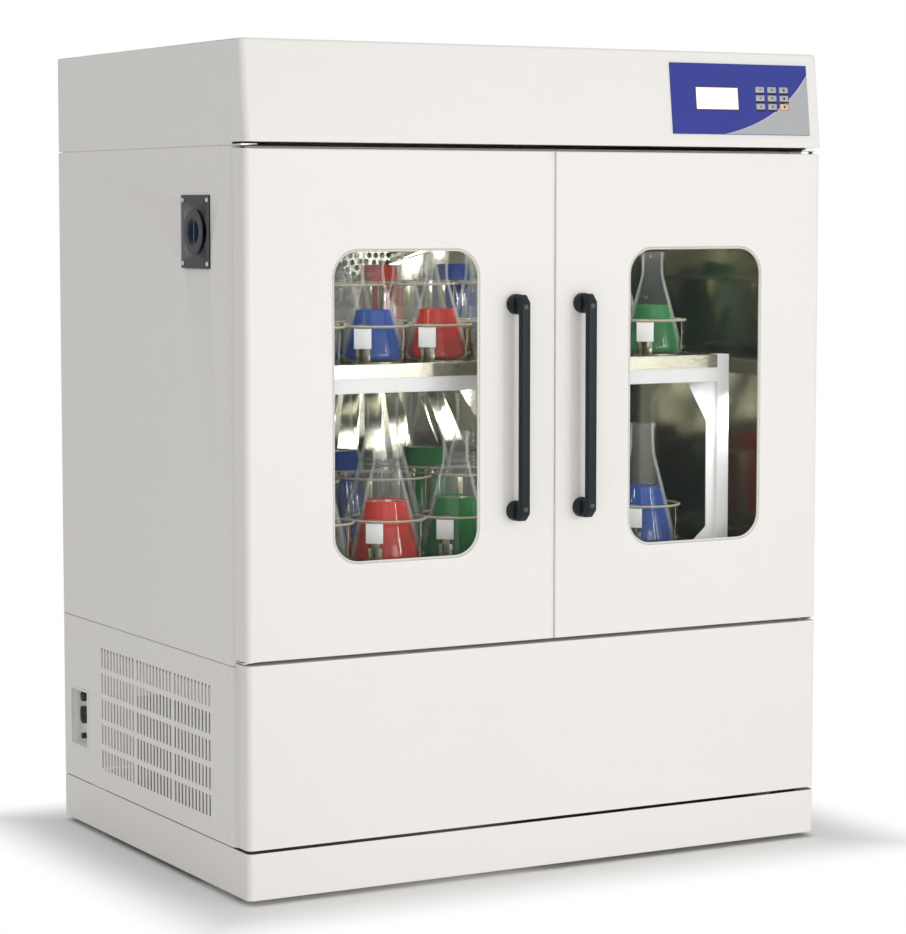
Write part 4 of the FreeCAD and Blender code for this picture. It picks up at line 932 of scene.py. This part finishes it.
def cut_for_keys(bm, keys, place):
    """Leave out the parts of a thin field that the keys stand in."""
    back = place.inverted()
    margin = 0.5 * MM
    for low, high in keys:
        for axis, value in ((0, low.x - margin), (0, high.x + margin), (2, low.z - margin), (2, high.z + margin)):
            point = Vector((0, 0, 0))
            point[axis] = value
            normal = Vector((0, 0, 0))
            normal[axis] = 1
            near = [f for f in bm.faces if key_near(back @ f.calc_center_median(), f, back, low, high, margin)]
            if near:
                geom = near + list({e for f in near for e in f.edges}) + list({v for f in near for v in f.verts})
                bmesh.ops.bisect_plane(bm, geom=geom, plane_co=place @ point,
                                       plane_no=place.to_3x3() @ normal)
    gone = []
    for face in bm.faces:
        middle = back @ face.calc_center_median()
        for low, high in keys:
            if low.x - margin < middle.x < high.x + margin and low.z - margin < middle.z < high.z + margin:
                gone.append(face)
                break
    bmesh.ops.delete(bm, geom=gone, context="FACES")


def key_near(middle, face, back, low, high, margin):
    """Whether a face's box in the overlay's plane meets a key's box."""
    points = [back @ v.co for v in face.verts]
    return (min(p.x for p in points) < high.x + margin and max(p.x for p in points) > low.x - margin
            and min(p.z for p in points) < high.z + margin and max(p.z for p in points) > low.z - margin)


def make_keys():
    """Nine domed keys; the eight grey ones carry a small plain mark, the last is peach."""
    place, width, height, thick = panel_place()
    # The dark bands under the grey keys are painted shadow.
    make_key_lines(place, thick)
    grey = finish(moulded_plastic, "#A9AAAE", "silver_key_plastic", 0.32)
    peach = finish(moulded_plastic, "#EBB68E", "peach_key_plastic", 0.34)
    dark = finish(moulded_plastic, "#26262C", "dark_key_print", 0.5)
    for number in range(1, 10):
        node = f"key_{number}"
        low, high = local_box(node, place)
        bm = bmesh.new()
        add_box(bm, low, high, 1.6 * MM, 3, place)
        close_normals(bm)
        last = number == 9
        add_piece(node + "_cap", bm, node, peach if last else grey, [node])
        mark = bmesh.new()
        middle = (low + high) / 2
        reach = 2.6 * MM
        kinds = {0: 3, 1: 4, 2: 24}
        corners_of_mark = kinds[(number - 1) % 3]
        turn = Matrix.Rotation(math.radians(90), 4, "X")
        if corners_of_mark == 4:
            turn = turn @ Matrix.Rotation(math.radians(45), 4, "Z")
        else:
            turn = turn @ Matrix.Rotation(math.radians(90), 4, "Z")
        spot = place @ Matrix.Translation((middle.x, low.y + 0.02 * MM, middle.z)) @ turn
        add_rod(mark, reach, 0.12 * MM, spot, 0.0, corners_of_mark)
        close_normals(mark)
        add_piece(node + "_mark", mark, node, dark)


def make_key_lines(place, thick):
    """Painted shadow: a dark band on the overlay under every grey key, standing in for the shade that the raised key
    casts.
    """
    bm = bmesh.new()
    for number in range(1, 9):
        low, high = local_box(f"key_{number}", place)
        add_box(bm, (low.x + 0.4 * MM, -thick - 0.45 * MM, low.z - 3.3 * MM),
                (high.x + 0.4 * MM, -thick, low.z - 0.4 * MM), 0.1 * MM, 1, place)
    close_normals(bm)
    # Painted shadow: this dark film stands in for the shade under each raised key.
    add_piece("key_lines", bm, "cabinet", finish(printed_film, "#1B1C38", "dark_overlay_line"))


def make_display():
    """Display window with its thin dark frame and pale screen."""
    place, width, height, thick = panel_place()
    low, high = local_box("display_window", place)
    bm = bmesh.new()
    edge = 2.0 * MM
    add_box(bm, (low.x + edge, low.y - 0.05 * MM, low.z + edge), (high.x - edge, high.y, high.z - edge),
            0.3 * MM, 2, place)
    close_normals(bm)
    add_piece("display_screen", bm, "cabinet", finish(lit_display), ["display_window"])
    bezel = bmesh.new()
    front, back = low.y - 0.5 * MM, high.y
    for start, end in (((low.x, low.z), (high.x, low.z + edge)), ((low.x, high.z - edge), (high.x, high.z)),
                       ((low.x, low.z + edge), (low.x + edge, high.z - edge)),
                       ((high.x - edge, low.z + edge), (high.x, high.z - edge))):
        add_box(bezel, (start[0], front, start[1]), (end[0], back, end[1]), 0.2 * MM, 1, place)
    close_normals(bezel)
    add_piece("display_bezel", bezel, "cabinet",
              finish(moulded_plastic, "#4A2352", "plum_display_frame", 0.3))


# Windows

def window_outline():
    """Corner radius of the windows' opening."""
    return 52.0 * MM


def make_window_gasket(side):
    """Soft pale bead between the door's rim and the outer pane."""
    low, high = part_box(side + "_window_panes")
    lap = 39.0 * MM
    bead = sizes().gasket
    left, right = low.x + lap, high.x - lap
    bottom, top = low.z + lap, high.z - lap
    radius = window_outline() - bead
    depth = low.y - bead * 0.9
    bm = bmesh.new()
    path = []
    inset = bead
    for cx, cz, start in ((right - inset - radius, top - inset - radius, 0), (left + inset + radius, top - inset - radius, 90),
                          (left + inset + radius, bottom + inset + radius, 180), (right - inset - radius, bottom + inset + radius, 270)):
        for step in range(9):
            angle = math.radians(start + 90 * step / 8)
            path.append((Vector((cx + radius * math.cos(angle), depth, cz + radius * math.sin(angle))), angle))
    rings = []
    for point, angle in path:
        outward = Matrix.Rotation(-angle, 4, "Y")
        made = bmesh.ops.create_circle(bm, segments=8, radius=bead, matrix=Matrix.Translation(point) @ outward)
        rings.append(list({e for v in made["verts"] for e in v.link_edges}))
    for first, second in zip(rings, rings[1:] + rings[:1]):
        bmesh.ops.bridge_loops(bm, edges=first + second)
    close_normals(bm)
    add_piece(side + "_window_bead", bm, side + "_door",
              finish(rubber, "#D9D8D2", "pale_window_gasket"), (), 60.0)


# Screws

def make_screws():
    """Pan-head screws with a cross recess in the place of the plain ones."""
    bm = bmesh.new()
    for low, high in solids_of("panel_screws"):
        middle = (low + high) / 2
        outward = -1 if middle.x < 0 else 1
        radius = (high.z - low.z) / 2
        head = 2.0 * MM
        outer = low.x if outward < 0 else high.x
        face = outer - outward * head
        turn = Matrix.Rotation(math.radians(90 * outward), 4, "Y")
        place = Matrix.Translation((face, middle.y, middle.z)) @ turn
        add_rod(bm, radius, head, place, 0.9 * MM, 24)
        shank = Matrix.Translation((face, middle.y, middle.z)) @ Matrix.Rotation(math.radians(-90 * outward), 4, "Y")
        add_rod(bm, radius / 2, high.x - low.x - head, shank, 0.3 * MM, 16)
        for turned in (0, 90):
            slot = place @ Matrix.Rotation(math.radians(turned + 20), 4, "Z")
            add_box(bm, (-radius * 0.6, -0.35 * MM, head - 0.2 * MM), (radius * 0.6, 0.35 * MM, head + 0.02 * MM),
                    0.0, 1, slot)
    close_normals(bm)
    add_piece("panel_screw_heads", bm, "cabinet", finish(powder_coat), ["panel_screws"])


# Operators

class SHAKER_OT_stage(bpy.types.Operator):
    """Camera at the photograph's angle, soft studio lamps, pale floor"""
    bl_idname = "shaker.stage"
    bl_label = "Stage"

    def execute(self, context):
        make_camera()
        make_world()
        make_lamps()
        make_floor()
        context.scene.view_settings.view_transform = "Standard"
        context.scene.cycles.transparent_max_bounces = CLEAR_LAYERS
        return {"FINISHED"}


def make_camera():
    data = bpy.data.cameras.new("photo_camera")
    data.lens = CAMERA_LENS
    camera = bpy.data.objects.new("photo_camera", data)
    camera.location = CAMERA_PLACE
    camera.rotation_euler = (math.radians(CAMERA_PITCH), 0, math.radians(CAMERA_YAW))
    bpy.context.scene.collection.objects.link(camera)
    bpy.context.scene.camera = camera


def seen_directly(tree):
    """1 where a surface is seen by the camera, in a reflection or through glass."""
    path = add_node(tree, "ShaderNodeLightPath")
    first = add_node(tree, "ShaderNodeMath", {0: path.outputs["Is Camera Ray"], 1: path.outputs["Is Glossy Ray"]},
                     operation="MAXIMUM")
    second = add_node(tree, "ShaderNodeMath", {0: first.outputs[0], 1: path.outputs["Is Transmission Ray"]},
                      operation="MAXIMUM")
    return second.outputs[0]


def make_world():
    """White where it is seen, plain soft grey where it lights the object."""
    world = bpy.data.worlds.new("studio")
    bpy.context.scene.world = world
    world.use_nodes = True
    tree = world.node_tree
    tree.nodes.clear()
    glow = add_node(tree, "ShaderNodeMix", {"Factor": seen_directly(tree), "A": (0.55, 0.55, 0.55, 1), "B": (1, 1, 1, 1)},
                    data_type="RGBA")
    background = add_node(tree, "ShaderNodeBackground", {"Color": glow.outputs["Result"], "Strength": 1.0})
    add_node(tree, "ShaderNodeOutputWorld", {"Surface": background.outputs["Background"]})


def make_lamp(name, place, target, size, watts):
    data = bpy.data.lights.new(name, "AREA")
    data.shape = "RECTANGLE"
    data.size, data.size_y = size
    data.energy = watts
    lamp = bpy.data.objects.new(name, data)
    lamp.location = place
    aim = Vector(target) - Vector(place)
    lamp.rotation_euler = aim.to_track_quat("-Z", "Y").to_euler()
    bpy.context.scene.collection.objects.link(lamp)


def make_lamps():
    make_lamp("key_strip_near", (1.7, -4.8, 1.5), (0, 0, 0.75), (0.3, 2.2), 28)
    make_lamp("key_strip_far", (2.6, -4.4, 1.5), (0, 0, 0.75), (0.3, 2.2), 14)
    make_lamp("front_softbox", (0.2, -5.4, 1.0), (0, 0, 0.75), (1.8, 1.8), 42)
    make_lamp("low_fill", (-2.4, -3.4, 0.2), (-0.6, -0.3, 0.2), (1.0, 0.8), 12)
    make_lamp("top_softbox", (0, -0.6, 4.2), (0, 0, 0.8), (3.0, 2.0), 6)
    low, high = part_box("base_frame")
    make_lamp("machine_lamp", (0.1, low.y + 0.3, low.z + 0.2), (low.x, 0.1, low.z + 0.2), (0.5, 0.25), 2.4)
    tray_low, tray_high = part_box("upper_tray")
    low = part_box("air_duct")[0]
    for number, (x, wide, watts) in enumerate(((-0.46, 0.08, 0.6), (-0.30, 0.04, 0.4), (-0.05, 0.08, 0.6),
                                               (0.11, 0.04, 0.4), (0.36, 0.08, 0.6), (0.50, 0.04, 0.4))):
        make_lamp(f"upper_spot_{number}", (x, tray_low.y - 0.02, 1.3), (x, 0, tray_high.z), (wide, 0.04), watts)
        make_lamp(f"lower_spot_{number}", (x, tray_low.y - 0.01, tray_low.z - 0.06), (x, 0.1, low.z),
                  (wide / 4, 0.12), watts * 0.6)


def make_floor():
    """Studio floor that fades to white away from the object and keeps its shadow."""
    bm = bmesh.new()
    bmesh.ops.create_grid(bm, x_segments=1, y_segments=1, size=40.0)
    mesh = bpy.data.meshes.new("studio_floor")
    bm.to_mesh(mesh)
    bm.free()
    floor = bpy.data.objects.new("studio_floor", mesh)
    bpy.context.scene.collection.objects.link(floor)
    material, tree, shader, place = start_material("studio_floor_paper", linear("#F4F4F3"), 0.9)
    reach = add_node(tree, "ShaderNodeVectorMath", {0: place}, operation="ABSOLUTE")
    beyond = add_node(tree, "ShaderNodeVectorMath", {0: reach.outputs["Vector"], 1: (0.63, 0.43, 0)},
                      operation="SUBTRACT")
    sides = add_node(tree, "ShaderNodeSeparateXYZ", {"Vector": beyond.outputs["Vector"]})
    distance = add_node(tree, "ShaderNodeMath", {0: sides.outputs["X"], 1: sides.outputs["Y"]}, operation="MAXIMUM")
    fade = add_node(tree, "ShaderNodeMapRange", {"Value": distance.outputs[0], "From Min": 0.02, "From Max": 0.24},
                    interpolation_type="SMOOTHSTEP")
    shown = add_node(tree, "ShaderNodeMath", {0: fade.outputs["Result"], 1: seen_directly(tree)}, operation="MULTIPLY")
    white = add_node(tree, "ShaderNodeEmission", {"Color": (1, 1, 1, 1), "Strength": 1.0})
    mixed = add_node(tree, "ShaderNodeMixShader", {0: shown.outputs[0], 1: shader.outputs["BSDF"],
                                                   2: white.outputs["Emission"]})
    output = next(n for n in tree.nodes if n.bl_idname == "ShaderNodeOutputMaterial")
    tree.links.new(mixed.outputs["Shader"], output.inputs["Surface"])
    mesh.materials.append(material)


class SHAKER_OT_cabinet(bpy.types.Operator):
    """Painted sheets of the cabinet: panels, skirt and header"""
    bl_idname = "shaker.cabinet"
    bl_label = "Cabinet sheets"

    def execute(self, context):
        coat = finish(powder_coat)
        edge = sizes().panel_edge
        dress("plinth", coat, edge, ("y-", "z+", "z-"))
        dress("lower_front_panel", coat, edge, ("y-", "z+", "z-"))
        dress("header_cover", coat, edge, ("x-", "x+", "z+"))
        for node in ("left_side_panel", "right_side_panel", "back_panel", "left_service_panel",
                     "right_service_panel"):
            dress(node, coat)
        return {"FINISHED"}


class SHAKER_OT_doors(bpy.types.Operator):
    """Both doors: skins, cores, panes, window beads and gaskets"""
    bl_idname = "shaker.doors"
    bl_label = "Doors"

    def execute(self, context):
        for side in ("left", "right"):
            dress(side + "_door_shell", finish(powder_coat), sizes().door_edge, ("y-",), 3)
            dress(side + "_door_core", finish(moulded_plastic, "#E4E3DD", "white_door_liner", 0.45), flat=True)
            dress(side + "_window_panes", finish(window_glass))
            make_window_gasket(side)
            paint(side + "_door_seal", finish(rubber, "#EDEBE4", "pale_door_gasket"))
        dress("hinge_brackets", finish(zinc_plate))
        return {"FINISHED"}


class SHAKER_OT_handles(bpy.types.Operator):
    """The two pull handles"""
    bl_idname = "shaker.handles"
    bl_label = "Handles"

    def execute(self, context):
        for side in ("left", "right"):
            make_handle(side)
        return {"FINISHED"}


class SHAKER_OT_controls(bpy.types.Operator):
    """Control overlay, display, keys and the boards behind them"""
    bl_idname = "shaker.controls"
    bl_label = "Control panel"

    def execute(self, context):
        make_overlay()
        make_display()
        make_keys()
        paint("control_board", finish(moulded_plastic, "#1F5A36", "green_circuit_board", 0.4))
        return {"FINISHED"}


class SHAKER_OT_side_fittings(bpy.types.Operator):
    """Port plate and plug, power pocket with its inlet and switch, screws"""
    bl_idname = "shaker.side_fittings"
    bl_label = "Side fittings"

    def execute(self, context):
        dress("port_plate", finish(polished_plate), 0.5 * MM, ("x-",))
        dress("port_plug", finish(rubber, "#27324F", "blue_silicone_plug"), 0.8 * MM, ("x-",))
        dress("power_pocket", finish(moulded_plastic, "#E9E9E6", "white_pocket_plastic", 0.4), 0.6 * MM, ("x-",))
        dress("power_inlet", finish(moulded_plastic, "#17191B", "black_inlet_plastic", 0.35), 0.4 * MM, ("x-",))
        dress("rocker_switch", finish(moulded_plastic, "#141517", "black_switch_plastic", 0.3))
        make_screws()
        return {"FINISHED"}


class SHAKER_OT_chamber(bpy.types.Operator):
    """Stainless chamber with its air duct, coil and fan, and the foam round it"""
    bl_idname = "shaker.chamber"
    bl_label = "Chamber"

    def execute(self, context):
        for node in ("chamber_liner", "air_duct"):
            dress(node, finish(chamber_stainless))
        dress("insulation", finish(foam))
        dress("heat_exchangers", finish(mill_aluminium))
        dress("circulation_fan", finish(mill_aluminium))
        return {"FINISHED"}


class SHAKER_OT_machine(bpy.types.Operator):
    """Base frame, feet, orbital drive and condensing unit"""
    bl_idname = "shaker.machine"
    bl_label = "Machine space"

    def execute(self, context):
        frame_paint = finish(machine_paint, "#4B4741", "dark_frame_enamel")
        casting = finish(machine_paint, "#5C6468", "grey_casting_enamel")
        dress("base_frame", frame_paint)
        dress("levelling_feet", finish(zinc_plate))
        dress("condensing_unit", finish(machine_paint, "#8C9092", "grey_unit_enamel"))
        dress("condenser_fan", finish(mill_aluminium))
        for node in ("fan_motors", "bearing_housings", "drive_motor"):
            dress(node, casting)
        for node in ("drive_crank", "idler_left", "idler_right", "motor_pulley"):
            dress(node, finish(turned_steel))
        dress("drive_belt", finish(rubber, "#17181A", "black_belt_rubber"))
        return {"FINISHED"}


class SHAKER_OT_platform(bpy.types.Operator):
    """Both trays and the white rack"""
    bl_idname = "shaker.platform"
    bl_label = "Platform"

    def execute(self, context):
        for node in ("lower_tray", "upper_tray"):
            dress(node, finish(brushed_stainless, "brushed_tray_stainless", 1.15, 0.20, 0.32), 0.8 * MM, ("z+",))
        dress("rack_frame", finish(rack_enamel), 1.0 * MM, ("x-", "x+", "y-", "y+"))
        return {"FINISHED"}


class SHAKER_OT_flasks(bpy.types.Operator):
    """Flasks, their cultures and their clamps"""
    bl_idname = "shaker.flasks"
    bl_label = "Flasks"

    def execute(self, context):
        flasks = flask_list()
        make_flasks(flasks)
        make_liquids(flasks)
        make_clamps(flasks)
        return {"FINISHED"}


OPERATORS = (
    SHAKER_OT_stage, SHAKER_OT_cabinet, SHAKER_OT_doors, SHAKER_OT_handles, SHAKER_OT_controls,
    SHAKER_OT_side_fittings, SHAKER_OT_chamber, SHAKER_OT_machine, SHAKER_OT_platform, SHAKER_OT_flasks,
)


class SHAKER_PT_panel(bpy.types.Panel):
    """Buttons for every group of pieces, and their sizes and colours"""
    bl_idname = "SHAKER_PT_panel"
    bl_label = "Shaker"
    bl_space_type = "VIEW_3D"
    bl_region_type = "UI"
    bl_category = "Shaker"

    def draw(self, context):
        for operator in OPERATORS:
            self.layout.operator(operator.bl_idname)
        for group in (context.scene.shaker_sizes, context.scene.shaker_colours):
            box = self.layout.box()
            for name in group.__annotations__:
                box.prop(group, name)


CLASSES = (ShakerColours, ShakerSizes) + OPERATORS + (SHAKER_PT_panel,)


def register():
    for item in CLASSES:
        bpy.utils.register_class(item)
    bpy.types.Scene.shaker_colours = bpy.props.PointerProperty(type=ShakerColours)
    bpy.types.Scene.shaker_sizes = bpy.props.PointerProperty(type=ShakerSizes)


def unregister():
    del bpy.types.Scene.shaker_sizes
    del bpy.types.Scene.shaker_colours
    for item in reversed(CLASSES):
        bpy.utils.unregister_class(item)


def main():
    register()
    for operator in OPERATORS:
        group, name = operator.bl_idname.split(".")
        getattr(getattr(bpy.ops, group), name)()


if __name__ == "__main__":
    main()
